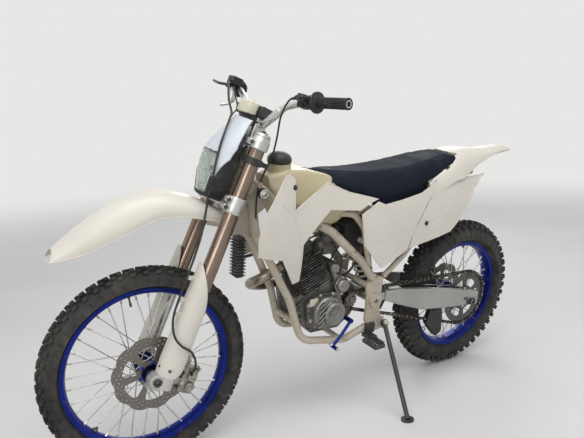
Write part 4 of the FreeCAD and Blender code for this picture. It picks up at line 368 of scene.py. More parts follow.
# By slot; the columns of worn are name, colour, roughness, metallic, tone, grain, stain, scratch,
# wear and edge
FINISH = {
    "tyre": tyre_rubber(),
    "blue_rim": worn("blue_anodised", (0.008, 0.02, 0.2), 0.34, 0.8, 0.2, (240.0, 0.00006),
                     dusty(0.4, 0.34, 30.0), 0.6),
    "hub_alloy": worn("hub_alloy", (0.012, 0.022, 0.13), 0.34, 0.85, 0.2, (260.0, 0.0001),
                      dusty(0.4, 0.42, 36.0), 0.4, None, 0.0008),
    "spoke_steel": worn("spoke_steel", (0.6, 0.59, 0.56), 0.3, 1.0, 0.1, None, dusty(0.6, 0.4, 60.0)),
    "disc_steel": turned_metal("disc_steel", (0.21, 0.192, 0.172), front_centre, front_axis, 0.42, 900.0),
    "chain_steel": worn("chain_steel", (0.26, 0.235, 0.2), 0.48, 0.9, 0.25, (300.0, 0.0002),
                        (GRIME, 0.8, 90.0)),
    "frame_paint": worn("frame_paint", (0.46, 0.405, 0.315), 0.42, 0.0, 0.08, (130.0, 0.00025),
                        ((0.18, 0.135, 0.09), 0.42, 34.0), 0.5, ((0.22, 0.17, 0.12), 0.002),
                        Coat_Weight=0.25, Coat_Roughness=0.3),
    "swingarm_alloy": worn("swingarm_alloy", (0.4, 0.395, 0.38), 0.42, 0.85, 0.08, (420.0, 0.0001),
                           dusty(0.5, 0.3, 44.0), 0.8, None, 0.0015),
    "dark_steel": worn("dark_steel", (0.07, 0.068, 0.066), 0.42, 0.7, 0.2, (200.0, 0.0002),
                       ((0.11, 0.06, 0.035), 0.4, 40.0), 0.5, (BARE_METAL, 0.0014)),
    "spring_paint": worn("spring_paint", (0.55, 0.5, 0.42), 0.4, 0.0, 0.1, (150.0, 0.0002),
                         (GRIME, 0.45, 45.0)),
    "black_plastic": worn("black_plastic", (0.017, 0.017, 0.018), 0.5, 0.0, 0.3, (520.0, 0.00012),
                          dusty(0.35, 0.38, 28.0), 0.5, None, 0.0012),
    "black_metal": worn("black_metal", (0.025, 0.025, 0.027), 0.42, 0.5, 0.3, (240.0, 0.00015),
                        dusty(0.4, 0.35, 42.0), 0.4, (BARE_METAL, 0.0009)),
    "engine_alloy": worn("engine_alloy", (0.19, 0.184, 0.172), 0.48, 0.85, 0.16, (380.0, 0.00035),
                         ((0.05, 0.042, 0.033), 0.5, 55.0), 0.5, ((0.5, 0.49, 0.46), 0.0016)),
    # The fins' light edges are partly bare metal rubbed through and partly a painted highlight along their
    # edges
    "fin_alloy": worn("fin_alloy", (0.075, 0.072, 0.067), 0.5, 0.7, 0.18, (420.0, 0.0003),
                      (GRIME, 0.5, 60.0), 0.2, ((0.66, 0.64, 0.6), 0.0016)),
    "header_steel": heat_tinted_steel(),
    "silencer_alloy": worn("silencer_alloy", (0.5, 0.49, 0.47), 0.33, 0.9, 0.08, (500.0, 0.0001),
                           dusty(0.5, 0.34, 30.0), 0.9, None, 0.002),
    "tank_plastic": tank_plastic(),
    "seat_cover": seat_vinyl(),
    "white_plastic": worn("white_plastic", WHITE, 0.36, 0.0, 0.03, (90.0, 0.0001),
                          ((0.46, 0.41, 0.33), 0.2, 26.0), 0.5, None, 0.0016, Subsurface_Weight=0.06,
                          Subsurface_Radius=(0.006, 0.005, 0.004), Subsurface_Scale=1.0),
    "dark_alloy": worn("dark_alloy", (0.11, 0.108, 0.105), 0.44, 0.8, 0.15, (300.0, 0.0002),
                       (GRIME, 0.5, 40.0), 0.4, (BARE_METAL, 0.0012)),
    "clamp_alloy": worn("clamp_alloy", (0.56, 0.555, 0.54), 0.4, 0.9, 0.06, (420.0, 0.00015),
                        dusty(0.5, 0.34, 48.0), 0.5, None, 0.0015),
    "fork_tube_alloy": worn("bronze_anodised", (0.25, 0.186, 0.148), 0.22, 0.88, 0.08, (600.0, 0.00004),
                            dusty(0.55, 0.24, 44.0), 0.8),
    "slider_steel": worn("slider_steel", (0.58, 0.57, 0.55), 0.2, 1.0, 0.05, None,
                         dusty(0.55, 0.38, 44.0), 0.5, None, 0.0015),
    "lamp_glass": lamp_glass(),
    "bar_alloy": worn("bar_alloy", (0.66, 0.655, 0.64), 0.3, 0.95, 0.05, (600.0, 0.00005),
                      dusty(0.6, 0.22, 50.0), 0.8),
    "grip_rubber": worn("grip_rubber", (0.014, 0.014, 0.016), 0.72, 0.0, 0.3, (420.0, 0.0003),
                        dusty(0.3, 0.4, 40.0)),
    "hose_rubber": worn("hose_rubber", (0.013, 0.013, 0.014), 0.48, 0.0, 0.2, (300.0, 0.0001),
                        dusty(0.3, 0.35, 50.0)),
}

# Nodes whose own finish differs from that of their slot
OWN_FINISH = {
    "headlight_mask": worn("mask_plastic", (0.52, 0.55, 0.59), 0.3, 0.0, 0.03, (90.0, 0.0001),
                           ((0.5, 0.47, 0.42), 0.16, 30.0), 0.7, None, 0.0018, Subsurface_Weight=0.05,
                           Subsurface_Radius=(0.005, 0.005, 0.005), Subsurface_Scale=1.0),
    "rear_disc": turned_metal("rear_disc_steel", (0.2, 0.185, 0.17), rear_centre, rear_axis, 0.44, 900.0),
    "shift_lever": FINISH["blue_rim"],
}
REFLECTOR = worn("reflector", (0.8, 0.82, 0.82), 0.3, 0.9, 0.03, (60.0, 0.0002))
CREAM_PLASTIC = worn("cream_plastic", (0.6, 0.57, 0.44), 0.42, 0.0, 0.06, (200.0, 0.0002),
                     (GRIME, 0.3, 60.0), 0.5, None, 0.001)
BULB_GLASS = worn("bulb_glass", (0.9, 0.86, 0.72), 0.08, 0.0, 0.04, (80.0, 0.0001), Transmission_Weight=0.7)


def finish_nodes():
    for name, node in frame["nodes"].items():
        slot = node.data.materials[0].name.split(".")[0]
        node.data.materials.clear()
        node.data.materials.append(OWN_FINISH.get(name, FINISH[slot]))


finish_nodes()


# Forms: each gives points and faces

def grid_faces(rows, columns, closed_rows=False):
    """Quads between rings of points; the last ring joins the first where rows are closed."""
    faces = []
    for row in range(rows if closed_rows else rows - 1):
        following = (row + 1) % rows
        for column in range(columns):
            after = (column + 1) % columns
            faces.append([row * columns + column, row * columns + after,
                          following * columns + after, following * columns + column])
    return faces


def end_faces(count, columns):
    """Caps on the first and the last ring of so many points."""
    return [list(range(columns)), list(range(count - columns, count))]


def around(count, start=0.0):
    """Equal turns round a circle."""
    return [start + 2 * math.pi * index / count for index in range(count)]


def polar(radius, turn, along=0.0):
    """A point at a turn about Y, from Z towards X."""
    return Vector((radius * math.sin(turn), along, radius * math.cos(turn)))


def turned(rows, segments, closed=False):
    """A form turned about Y from (along, radius) rows; its ends are capped unless it is closed."""
    points = [polar(radius, turn, along) for along, radius in rows for turn in around(segments)]
    faces = grid_faces(len(rows), segments, closed)
    return points, faces if closed else faces + end_faces(len(points), segments)


def ring(rows, segments):
    """A bored form turned about Y from the closed loop of its profile."""
    return turned(rows, segments, closed=True)


def swept(path, radius, segments=12):
    """A capped round tube along a path of points."""
    path = [Vector(point) for point in path]
    points = []
    side = None
    for index, point in enumerate(path):
        way = (path[min(index + 1, len(path) - 1)] - path[max(index - 1, 0)]).normalized()
        guess = side or (Vector(UP) if abs(way.z) < 0.9 else Vector(AHEAD))
        side = (guess - way * guess.dot(way)).normalized()
        other = way.cross(side)
        points += [point + (side * math.cos(turn) + other * math.sin(turn)) * radius
                   for turn in around(segments)]
    return points, grid_faces(len(path), segments) + end_faces(len(points), segments)


def smooth_path(points, steps=8):
    """A curve through the points, by Catmull-Rom."""
    points = [Vector(point) for point in points]
    path = []
    for index in range(len(points) - 1):
        before = points[max(index - 1, 0)]
        start, end = points[index], points[index + 1]
        after = points[min(index + 2, len(points) - 1)]
        for step in range(steps):
            share = step / steps
            path.append(0.5 * (2 * start + (end - before) * share
                               + (2 * before - 5 * start + 4 * end - after) * share ** 2
                               + (3 * start - before - 3 * end + after) * share ** 3))
    path.append(points[-1])
    return path


def hose(points, radius, steps=8, segments=12):
    return swept(smooth_path(points, steps), radius, segments)


def round_outline(radius, steps, centre=(0.0, 0.0), waves=0, depth=0.0):
    """A circle's (x, z) rows, with waves cut into it to a depth."""
    rows = []
    for turn in around(steps):
        reach = radius - depth * (0.5 - 0.5 * math.cos(waves * turn)) ** 2
        rows.append((centre[0] + reach * math.sin(turn), centre[1] + reach * math.cos(turn)))
    return rows


WINDOW_TRIM = 0.12
WINDOW_CUT = 0.15


def window_outline(inner, outer, start, end):
    """A ring sector's (x, z) rows between two turns in degrees, with its corners cut."""
    start, end = math.radians(start), math.radians(end)
    trim = (end - start) * WINDOW_TRIM
    span = end - start - 2 * trim
    cut = (outer - inner) * WINDOW_CUT
    rows = [(outer, start + trim + span * step / 6) for step in range(7)]
    rows += [(outer - cut, end), (inner + cut, end)]
    rows += [(inner, end - trim - span * step / 2) for step in range(3)]
    rows += [(inner + cut, start), (outer - cut, start)]
    return [(reach * math.sin(turn), reach * math.cos(turn)) for reach, turn in rows]


def prism(low_points, high_points):
    """Two like faces and the walls between them."""
    count = len(low_points)
    faces = [list(range(count)), [count + index for index in reversed(range(count))]]
    faces += [[index, (index + 1) % count, count + (index + 1) % count, count + index]
              for index in range(count)]
    return low_points + high_points, faces


def plate(outer, holes, low, high):
    """A flat plate across Y, from the (x, z) rows of its outline and of its holes."""
    loops = [outer] + holes
    triangles = tessellate_polygon([[Vector((x, z, 0)) for x, z in loop] for loop in loops])
    rows = [row for loop in loops for row in loop]
    count = len(rows)
    points = [(x, low, z) for x, z in rows] + [(x, high, z) for x, z in rows]
    faces = [list(triangle) for triangle in triangles]
    faces += [[count + index for index in reversed(triangle)] for triangle in triangles]
    first = 0
    for loop in loops:
        for index in range(len(loop)):
            after = (index + 1) % len(loop)
            faces.append([first + index, first + after, count + first + after, count + first + index])
        first += len(loop)
    return points, faces


def soft_block(low, high, radius):
    """A box between two corners with rounded edges."""
    form = bmesh.new()
    bmesh.ops.create_cube(form, size=1.0)
    low, high = Vector(low), Vector(high)
    for vertex in form.verts:
        vertex.co = Vector([low[k] + (high[k] - low[k]) * (vertex.co[k] + 0.5) for k in range(3)])
    bmesh.ops.bevel(form, geom=form.edges[:], offset=radius, segments=3, profile=0.5, affect="EDGES")
    form.verts.index_update()
    points = [vertex.co.copy() for vertex in form.verts]
    faces = [[vertex.index for vertex in face.verts] for face in form.faces]
    form.free()
    return points, faces


def joined(first, second):
    """Two forms as one."""
    shift = len(first[0])
    return first[0] + second[0], first[1] + [[shift + index for index in face] for face in second[1]]


def hex_bolt(radius, height):
    """A flanged hexagon head on Y."""
    flange = turned([(0, radius * 1.35), (height * 0.22, radius * 1.3)], 18)
    head = turned([(height * 0.2, radius), (height * 0.88, radius), (height, radius * 0.84)], 6)
    return joined(flange, head)


def button_bolt(radius, height):
    """A domed head with a socket."""
    return turned([(0, radius), (height * 0.5, radius * 0.96), (height * 0.85, radius * 0.72),
                   (height, radius * 0.45), (height * 0.45, radius * 0.42)], 14)


class Build:
    """Points and faces of one piece, gathered from many forms."""

    def __init__(self):
        self.points = []
        self.faces = []

    def add(self, form, place):
        points, faces = form
        first = len(self.points)
        self.points.extend([place @ Vector(point) for point in points])
        self.faces.extend([[first + index for index in face] for face in faces])

    def bolt(self, radius, height, at, way, place, head=hex_bolt):
        self.add(head(radius, height), place @ aimed(at, way))

    def piece(self, name, slot, body, sharp=40.0, finish=None):
        mesh = bpy.data.meshes.new(name)
        mesh.from_pydata(self.points, [], self.faces)
        mesh.validate()
        mended = bmesh.new()
        mended.from_mesh(mesh)
        bmesh.ops.recalc_face_normals(mended, faces=mended.faces)
        mended.to_mesh(mesh)
        mended.free()
        mesh.shade_smooth()
        mesh.set_sharp_from_angle(angle=math.radians(sharp))
        mesh.materials.append(finish or FINISH[slot])
        made = bpy.data.objects.new(name, mesh)
        bpy.context.scene.collection.objects.link(made)
        if body:
            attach(made, body)
        return made


def copied(source, name, finish):
    """A new object with a copy of a CAD node's mesh."""
    made = bpy.data.objects.new(name, frame["nodes"][source].data.copy())
    bpy.context.scene.collection.objects.link(made)
    made.data.materials.clear()
    made.data.materials.append(FINISH[finish])
    return made


BESIDE = 600


def on_surface(name, ahead, up, side, rise=0.0):
    """Where a line across the bike, from the left (side 1) or the right, meets a node's outer face.

    Gives that point, moved out of the face by the rise, and the face's way, or None.
    """
    across = direction(BIKE, 0, -side, 0)
    start = millimetres(BIKE, ahead, side * BESIDE, up)
    hit, point, normal, _ = bpy.data.objects[name].ray_cast(start, across)
    if not hit:
        return None
    outward = normal if normal.dot(across) < 0 else -normal
    return TO_BIKE @ point + Vector((0, side * rise, 0)), direction(TO_BIKE, *outward)


# Tyres

# Each knob: crown angles where it begins and ends, first share of the pitch that it covers, last share
FRONT_KNOBS = [(1.5, 12, 0.04, 0.5), (-12, -1.5, 0.04, 0.5), (14, 26, 0.52, 0.94), (-26, -14, 0.52, 0.94),
               (29, 48, 0.06, 0.56), (-48, -29, 0.06, 0.56)]
REAR_KNOBS = [(2.5, 14, 0.04, 0.5), (-14, -2.5, 0.04, 0.5), (-7, 7, 0.6, 0.92), (17, 30, 0.5, 0.94),
              (-30, -17, 0.5, 0.94), (34, 55, 0.04, 0.56), (-55, -34, 0.04, 0.56)]
CHAMFER = 1.2
KNOB_TAPER = 1.2
KNOB_CORNER = 2.2
KNOB_SUNK = 3
CROWN_SHARE = 0.53
RIM_LIP = 5.3
CROWN_ANGLES = (62, 54, 46, 38, 30, 22, 14, 7, 0)
TYRE_SEGMENTS = 168
RIB_RADIUS = 1.2
RIB_TOP_ANGLE = 64


class Tyre:
    """The crown of a tyre: a circle round a centre line, as in the CAD model."""

    def __init__(self, outer, width, rim_radius, rim_width, lug, pitches, knobs):
        self.lug = lug
        self.pitches = pitches
        self.knobs = knobs
        self.half = width / 2
        self.rim = rim_radius
        self.bead = rim_width / 2 - RIM_LIP
        crown = width * CROWN_SHARE
        self.centre = outer - crown
        self.base = crown - lug
        self.belly = (self.centre + rim_radius) / 2

    def on_crown(self, angle, rise=0.0):
        turn = math.radians(angle)
        reach = self.base + rise
        return reach * math.sin(turn), self.centre + reach * math.cos(turn)

    def profile(self):
        """Half of the carcass from the bead to the crown, then its mirror image, with sidewall rings."""
        rows = [(self.bead - 3, self.rim - 11), (self.bead, self.rim - 4), (self.bead + 1, self.rim + 2),
                (self.bead + 4, self.rim + 3.5), (self.bead + 4.5, self.rim + 6),
                (self.half - 3, self.belly - 2), (self.half, self.belly)]
        rows += [self.on_crown(angle) for angle in CROWN_ANGLES]
        return rows + [(-along, radius) for along, radius in reversed(rows[:-1])]

    def knob(self, low, high, start, end, pitch):
        """A block with bevelled corners, tapering from the carcass to its worn face."""
        step = 2 * math.pi / self.pitches
        levels = [(-KNOB_SUNK, 0.0), (self.lug * 0.5, 0.7), (self.lug - CHAMFER, KNOB_TAPER),
                  (self.lug, KNOB_TAPER + CHAMFER)]
        points = []
        for rise, inset in levels:
            radius = self.centre + self.base + rise
            trim = math.degrees(inset / (self.base + rise))
            corner = math.degrees(KNOB_CORNER / (self.base + rise))
            corner_turn = KNOB_CORNER / radius
            left, right = low + trim, high - trim
            first = (pitch + start) * step + inset / radius
            last = (pitch + end) * step - inset / radius
            for angle, turn in ((left + corner, first), (right - corner, first),
                                (right, first + corner_turn), (right, last - corner_turn),
                                (right - corner, last), (left + corner, last),
                                (left, last - corner_turn), (left, first + corner_turn)):
                along, reach = self.on_crown(angle, rise)
                points.append(polar(reach, turn, along))
        return points, grid_faces(len(levels), 8) + end_faces(len(points), 8)[1:]

    def sidewall_ribs(self, build, place):
        """Short raised bars round each shoulder, under the outer knobs."""
        for turn in around(self.pitches, math.pi / 2 / self.pitches):
            for side in (1, -1):
                inner = Vector((0, side * (self.half - 0.6), self.belly + 3))
                outer = Vector((0, *self.on_crown(RIB_TOP_ANGLE * side)))
                middle = (inner + outer) / 2 + Vector((0, side * RIB_RADIUS, 0))
                build.add(swept([inner, middle, outer], RIB_RADIUS, 6), place @ spun(turn))

    def build(self, name, node, body, place):
        made = Build()
        made.add(ring(self.profile(), TYRE_SEGMENTS), place)
        for pitch in range(self.pitches):
            for knob in self.knobs:
                made.add(self.knob(*knob, pitch), place)
        self.sidewall_ribs(made, place)
        piece = made.piece(name, "tyre", body, sharp=32.0)
        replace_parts(piece, node)


FRONT_RIM = 280
REAR_RIM = 242
Tyre(outer=347, width=82, rim_radius=FRONT_RIM, rim_width=46, lug=11, pitches=52,
     knobs=FRONT_KNOBS).build("front_tread", "front_tyre", "front_wheel", FRONT_WHEEL)
Tyre(outer=333, width=108, rim_radius=REAR_RIM, rim_width=62, lug=14, pitches=50,
     knobs=REAR_KNOBS).build("rear_tread", "rear_tyre", "rear_wheel", REAR_WHEEL)


# Spokes with their nipples

HUB_HALF = 34
SPOKES = 36
SPOKE_RADIUS = 1.9
SPOKE_CIRCLE = 39.3
SPOKE_CROSS = math.radians(70)
FOOT_STAGGER, HEAD_STAGGER = 1.5, 5
RIM_DEPTH = 22.7
NIPPLE = turned([(-17, 2.4), (-16, 3.2), (-2, 3.4), (0, 4.2), (2, 4.2)], 8)


def spoke_set(name, node, body, place, rim_radius):
    wires = Build()
    for index, turn in enumerate(around(SPOKES)):
        side = 1 if index % 2 else -1
        lead = 1 if index % 4 < 2 else -1
        foot = polar(SPOKE_CIRCLE, turn + lead * SPOKE_CROSS, side * (HUB_HALF + lead * FOOT_STAGGER))
        head = polar(rim_radius - RIM_DEPTH, turn, side * HEAD_STAGGER)
        wires.add(swept([foot, head], SPOKE_RADIUS, 10), place)
        wires.add(NIPPLE, place @ aimed(head, head - foot))
    piece = wires.piece(name, "spoke_steel", body)
    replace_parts(piece, node)


spoke_set("front_wires", "front_spokes", "front_wheel", FRONT_WHEEL, FRONT_RIM)
spoke_set("rear_wires", "rear_spokes", "rear_wheel", REAR_WHEEL, REAR_RIM)


# Chain

CHAIN_PITCH = 15.875
CHAIN_SIDE = 70
REAR_TEETH = 48
FRONT_TEETH = 13
REAR_PITCH_RADIUS = CHAIN_PITCH / (2 * math.sin(math.pi / REAR_TEETH))
FRONT_PITCH_RADIUS = CHAIN_PITCH / (2 * math.sin(math.pi / FRONT_TEETH))
FRONT_SPROCKET = Vector((650, 0, 452))
REAR_SPROCKET = Vector((0, 0, REAR_AXLE_HEIGHT))
LINK_END = 6.2
LINK_WAIST = 4.4
LINK_THICKNESS = 1.4
INNER_LINK, OUTER_LINK = 4.0, 5.6
CHAIN_PIN = turned([(-7.8, 2.4), (-7.4, 2.8), (7.4, 2.8), (7.8, 2.4)], 10)
CHAIN_ROLLER = turned([(-3.8, 5), (3.8, 5)], 14)


def chain_pins():
    """Pin centres round both sprockets, starting where the upper run leaves the rear one."""
    far = FRONT_SPROCKET - REAR_SPROCKET
    slope = math.atan2(far.z, far.x)
    spread = math.asin((REAR_PITCH_RADIUS - FRONT_PITCH_RADIUS) / far.length)
    straight = far.length * math.cos(spread)
    front_wrap = FRONT_PITCH_RADIUS * (math.pi - 2 * spread)
    rear_wrap = REAR_PITCH_RADIUS * (math.pi + 2 * spread)
    total = 2 * straight + front_wrap + rear_wrap
    links = 2 * round(total / CHAIN_PITCH / 2)
    upper = slope + math.pi / 2 - spread
    lower = slope - math.pi / 2 + spread

    def on_rear(turn):
        return REAR_SPROCKET + Vector((math.cos(turn), 0, math.sin(turn))) * REAR_PITCH_RADIUS

    def on_front(turn):
        return FRONT_SPROCKET + Vector((math.cos(turn), 0, math.sin(turn))) * FRONT_PITCH_RADIUS

    def at(travel):
        if travel < straight:
            return on_rear(upper).lerp(on_front(upper), travel / straight)
        travel -= straight
        if travel < front_wrap:
            return on_front(upper - travel / FRONT_PITCH_RADIUS)
        travel -= front_wrap
        if travel < straight:
            return on_front(lower).lerp(on_rear(lower), travel / straight)
        return on_rear(lower - (travel - straight) / REAR_PITCH_RADIUS)

    return [at(index * total / links) for index in range(links)]


def link_plate(length, side):
    """A waisted side plate between two pins, in a frame with X along the link and Y across it."""
    half = []
    for step in range(9):
        turn = math.radians(-80 + 20 * step)
        half.append((length / 2 + LINK_END * math.cos(turn), LINK_END * math.sin(turn)))
    half.append((0, LINK_WAIST))
    outline = half + [(-ahead, -up) for ahead, up in half]
    return prism([(ahead, side, up) for ahead, up in outline],
                 [(ahead, side + LINK_THICKNESS, up) for ahead, up in outline])


def chain_links():
    made = Build()
    pins = chain_pins()
    across = Vector((0, CHAIN_SIDE, 0))
    for index, pin in enumerate(pins):
        following = pins[(index + 1) % len(pins)]
        length = (following - pin).length
        along = (following - pin).normalized()
        up = along.cross(Vector(LEFT))
        link = BIKE @ placement((pin + following) / 2 + across, along, LEFT, up)
        offset = OUTER_LINK if index % 2 else INNER_LINK
        made.add(link_plate(length, offset), link)
        made.add(link_plate(length, -offset - LINK_THICKNESS), link)
        made.add(CHAIN_PIN, BIKE @ moved(*(pin + across)))
        made.add(CHAIN_ROLLER, BIKE @ moved(*(pin + across)))
    piece = made.piece("roller_chain", "chain_steel", "chassis")
    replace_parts(piece, "chain")


chain_links()


# Seat: the CAD pad is copied, filled by cloth pressure under its cover, then smoothed; in m

SEAT_VOXEL = 0.006
SEAT_SHRINK = 0.003
SEAT_SWELL = 0.0035
CLOTH_PRESSURE = 4.0
CLOTH_STIFFNESS = 40.0
CLOTH_STEPS = 15


def apply_modifiers(piece):
    """The piece's shape with its modifiers becomes its own mesh."""
    evaluated = piece.evaluated_get(bpy.context.evaluated_depsgraph_get())
    mesh = bpy.data.meshes.new_from_object(evaluated)
    piece.modifiers.clear()
    piece.data = mesh


def even_mesh(cushion):
    """The CAD pad's surface as an even, relaxed mesh."""
    remesh = cushion.modifiers.new("even", "REMESH")
    remesh.mode = "VOXEL"
    remesh.voxel_size = SEAT_VOXEL
    remesh.use_smooth_shade = True
    relax = cushion.modifiers.new("relax", "SMOOTH")
    relax.factor = 0.5
    relax.iterations = 10
    apply_modifiers(cushion)


def swell(cushion):
    """Cloth pressure rounds the pad; no point moves further than the swell allows."""
    mesh = cushion.data
    rest = [vertex.co - vertex.normal * SEAT_SHRINK for vertex in mesh.vertices]
    for vertex, point in zip(mesh.vertices, rest):
        vertex.co = point
    cloth = cushion.modifiers.new("cloth", "CLOTH")
    cloth.settings.use_pressure = True
    cloth.settings.uniform_pressure_force = CLOTH_PRESSURE
    cloth.settings.effector_weights.gravity = 0.0
    cloth.settings.quality = 5
    cloth.settings.tension_stiffness = CLOTH_STIFFNESS
    cloth.settings.compression_stiffness = CLOTH_STIFFNESS
    scene = bpy.context.scene
    for step in range(CLOTH_STEPS):
        scene.frame_set(step + 1)
    apply_modifiers(cushion)
    for vertex, point in zip(cushion.data.vertices, rest):
        travel = vertex.co - point
        if travel.length > SEAT_SWELL:
            vertex.co = point + travel * (SEAT_SWELL / travel.length)
    scene.frame_set(1)


def seat_cushion():
    cushion = copied("seat", "seat_cushion", "seat_cover")
    even_mesh(cushion)
    swell(cushion)
    relax = cushion.modifiers.new("settle", "SMOOTH")
    relax.iterations = 3
    divide = cushion.modifiers.new("divide", "SUBSURF")
    divide.levels = 1
    divide.render_levels = 1
    apply_modifiers(cushion)
    cushion.data.shade_smooth()
    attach(cushion, "chassis")
    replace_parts(cushion, "seat")


seat_cushion()


# Fasteners of the chassis

BOLT_SHARE = 0.6
# Radius, then places; the heads face away from the bike's middle
CHASSIS_HEX = [
    (6, [(545, 110, 520), (545, 110, 345), (545, -110, 520)]),
    (5, [(850, 72, 470), (838, 72, 406), (712, 72, 380), (700, 72, 490), (790, 72, 372)]),
    (5, [(838, -112, 462), (812, -112, 388), (742, -112, 360), (672, -112, 388), (662, -112, 450),
         (706, -112, 508), (782, -112, 508)]),
]
SEAT_BUTTON = button_bolt(6, 6 * BOLT_SHARE)
SEAT_BUTTON_PLACE = (650, 131, 846)


def chassis_bolts():
    made = Build()
    for radius, places in CHASSIS_HEX:
        for at in places:
            made.add(hex_bolt(radius, radius * BOLT_SHARE), on_bike(at, (0, math.copysign(1, at[1]), 0)))
    for side in (1, -1):
        made.add(SEAT_BUTTON, on_bike(beside(SEAT_BUTTON_PLACE, side), (0, side, 0.1)))
    made.piece("chassis_bolts", "clamp_alloy", "chassis", sharp=30.0)


chassis_bolts()


# Brake discs, sprocket and valves, in the wheels' frames

DISC_BAND = 34
DISC_THICKNESS = 4
DISC_WAVES = 10
DISC_WAVE_DEPTH = 6.5
DISC_BOLTS = 6
DISC_BORE = 32.5
WINDOW_FOOT = 44
DISC_WINDOW = (9, 51)
HOLE_RADIUS = 2.4
HOLE_GROUPS = 24
# Each hole of a group: how far in from the edge, and its share of the way to the next group
DISC_HOLES = [(9, 0.0), (16.5, 0.45), (24, 0.0), (30.5, 0.45)]
CARRIER_SEAT = HUB_HALF + 3.2
CARRIER_BORE, CARRIER_RADIUS = 24.5, 39.5
# Radii of the carrier's bevel through the disc: on the hub's side, midway, on the outer side
CARRIER_BEVEL = (33.2, 32.4, 31.8)
DISC_BOLT_RADIUS, DISC_BOLT_HEIGHT = 5.5, 4
BOLT_CIRCLE = 38.5
BOLT_LAG = math.radians(12)


def disc_holes(radius):
    start, end = DISC_WINDOW
    holes = [window_outline(WINDOW_FOOT, radius - DISC_BAND, arm + start, arm + end)
             for arm in range(0, 360, 60)]
    for index in range(HOLE_GROUPS):
        for inset, lag in DISC_HOLES:
            turn = 2 * math.pi * (index + lag) / HOLE_GROUPS
            centre = ((radius - inset) * math.sin(turn), (radius - inset) * math.cos(turn))
            holes.append(round_outline(HOLE_RADIUS, 8, centre))
    holes.append(round_outline(DISC_BORE, 40))
    return holes


def brake_disc(name, node, body, place, radius, side, finish):
    """A waved, drilled ring on six arms, with the hub ring that carries it and its bolts."""
    disc = Build()
    half = DISC_THICKNESS / 2
    outline = round_outline(radius, 240, waves=DISC_WAVES, depth=DISC_WAVE_DEPTH)
    disc.add(plate(outline, disc_holes(radius), side - half, side + half), place)
    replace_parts(disc.piece(name, "disc_steel", body, sharp=35.0, finish=finish), node)
    sign = 1 if side > 0 else -1
    face = side - sign * half
    outer = side + sign * half
    carrier = Build()
    seat = sign * CARRIER_SEAT
    rows = [(seat, CARRIER_BORE), (seat, CARRIER_RADIUS), (face, CARRIER_RADIUS)]
    rows += zip((face, side, outer), CARRIER_BEVEL)
    carrier.add(ring(rows + [(outer, CARRIER_BORE)], 48), place)
    carrier.piece(name + "_carrier", "hub_alloy", body)
    bolts = Build()
    for turn in around(DISC_BOLTS, BOLT_LAG):
        head = button_bolt(DISC_BOLT_RADIUS, sign * DISC_BOLT_HEIGHT)
        bolts.add(head, place @ moved(*polar(BOLT_CIRCLE, turn, outer)))
    bolts.piece(name + "_bolts", "clamp_alloy", body, finish=BLUE_BOLT)


# Each tooth: share of the pitch, and depth below the tip
TOOTH = [(0.0, 5.5), (0.25, 5.5), (0.42, 1), (0.5, 0), (0.75, 0), (0.83, 1)]
SPROCKET_HALF = 2.5
SPROCKET_ARMS = 6
SPROCKET_WINDOW = (56, 88)
SPROCKET_BOLT_CIRCLE = 40.5
HOLE_CIRCLE = 90


def rear_sprocket():
    """A thin toothed plate with windows and lightening holes on its carrier."""
    tip = REAR_PITCH_RADIUS - 6
    outline = []
    for start in around(REAR_TEETH):
        for share, depth in TOOTH:
            point = polar(tip - depth, start + share * 2 * math.pi / REAR_TEETH)
            outline.append((point.x, point.z))
    holes = []
    for index, turn in enumerate(around(SPROCKET_ARMS)):
        holes.append(window_outline(*SPROCKET_WINDOW, 60 * index + 8, 60 * index + 52))
        centre = (HOLE_CIRCLE * math.sin(turn), HOLE_CIRCLE * math.cos(turn))
        holes.append(round_outline(4.2, 12, centre))
    holes.append(round_outline(30, 40))
    low, high = CHAIN_SIDE - SPROCKET_HALF, CHAIN_SIDE + SPROCKET_HALF
    made = Build()
    made.add(plate(outline, holes, low, high), REAR_WHEEL)
    made.add(ring([(CARRIER_SEAT, 25.5), (CARRIER_SEAT, 36), (low - 10, 36), (low - 8, 46), (low, 47),
                   (low, 25.5)], 48), REAR_WHEEL)
    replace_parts(made.piece("toothed_sprocket", "dark_alloy", "rear_wheel", sharp=30.0), "rear_sprocket")
    bolts = Build()
    for turn in around(SPROCKET_ARMS):
        bolts.bolt(5.5, 4.5, polar(SPROCKET_BOLT_CIRCLE, turn, high), LEFT, REAR_WHEEL)
    bolts.piece("sprocket_bolts", "clamp_alloy", "rear_wheel", sharp=30.0)


VALVE = turned([(0, 5.2), (4, 5.2), (4.5, 3.2), (22, 3.2), (23, 4.2), (34, 4.2), (36, 2.6)], 12)
RIM_LOCK = turned([(0, 11), (3, 11), (3.5, 7.5), (9, 7.5), (9.5, 4), (14, 4)], 6)
RIM_INNER = 22.2
LOCK_TURN = 2.2


def wheel_trim(name, body, place, rim_radius, turn):
    """The valve with its cap, and the rim lock's nut."""
    made = Build()
    seat = aimed((0, 0, rim_radius - RIM_INNER), DOWN)
    made.add(VALVE, place @ spun(turn) @ seat)
    made.add(RIM_LOCK, place @ spun(turn + LOCK_TURN) @ seat)
    made.piece(name, "dark_steel", body, sharp=30.0)


BLUE_BOLT = worn("blue_bolt", (0.02, 0.05, 0.5), 0.25, 0.9, 0.1, None, dusty(0.4, 0.2, 90.0))
brake_disc("front_rotor", "front_disc", "front_wheel", FRONT_WHEEL, radius=128, side=53,
           finish=FINISH["disc_steel"])
brake_disc("rear_rotor", "rear_disc", "rear_wheel", REAR_WHEEL, radius=115, side=-64,
           finish=OWN_FINISH["rear_disc"])
rear_sprocket()
wheel_trim("front_valve", "front_wheel", FRONT_WHEEL, FRONT_RIM, turn=0.6)
wheel_trim("rear_valve", "rear_wheel", REAR_WHEEL, REAR_RIM, turn=3.9)


# Lamp, in the fork's frame

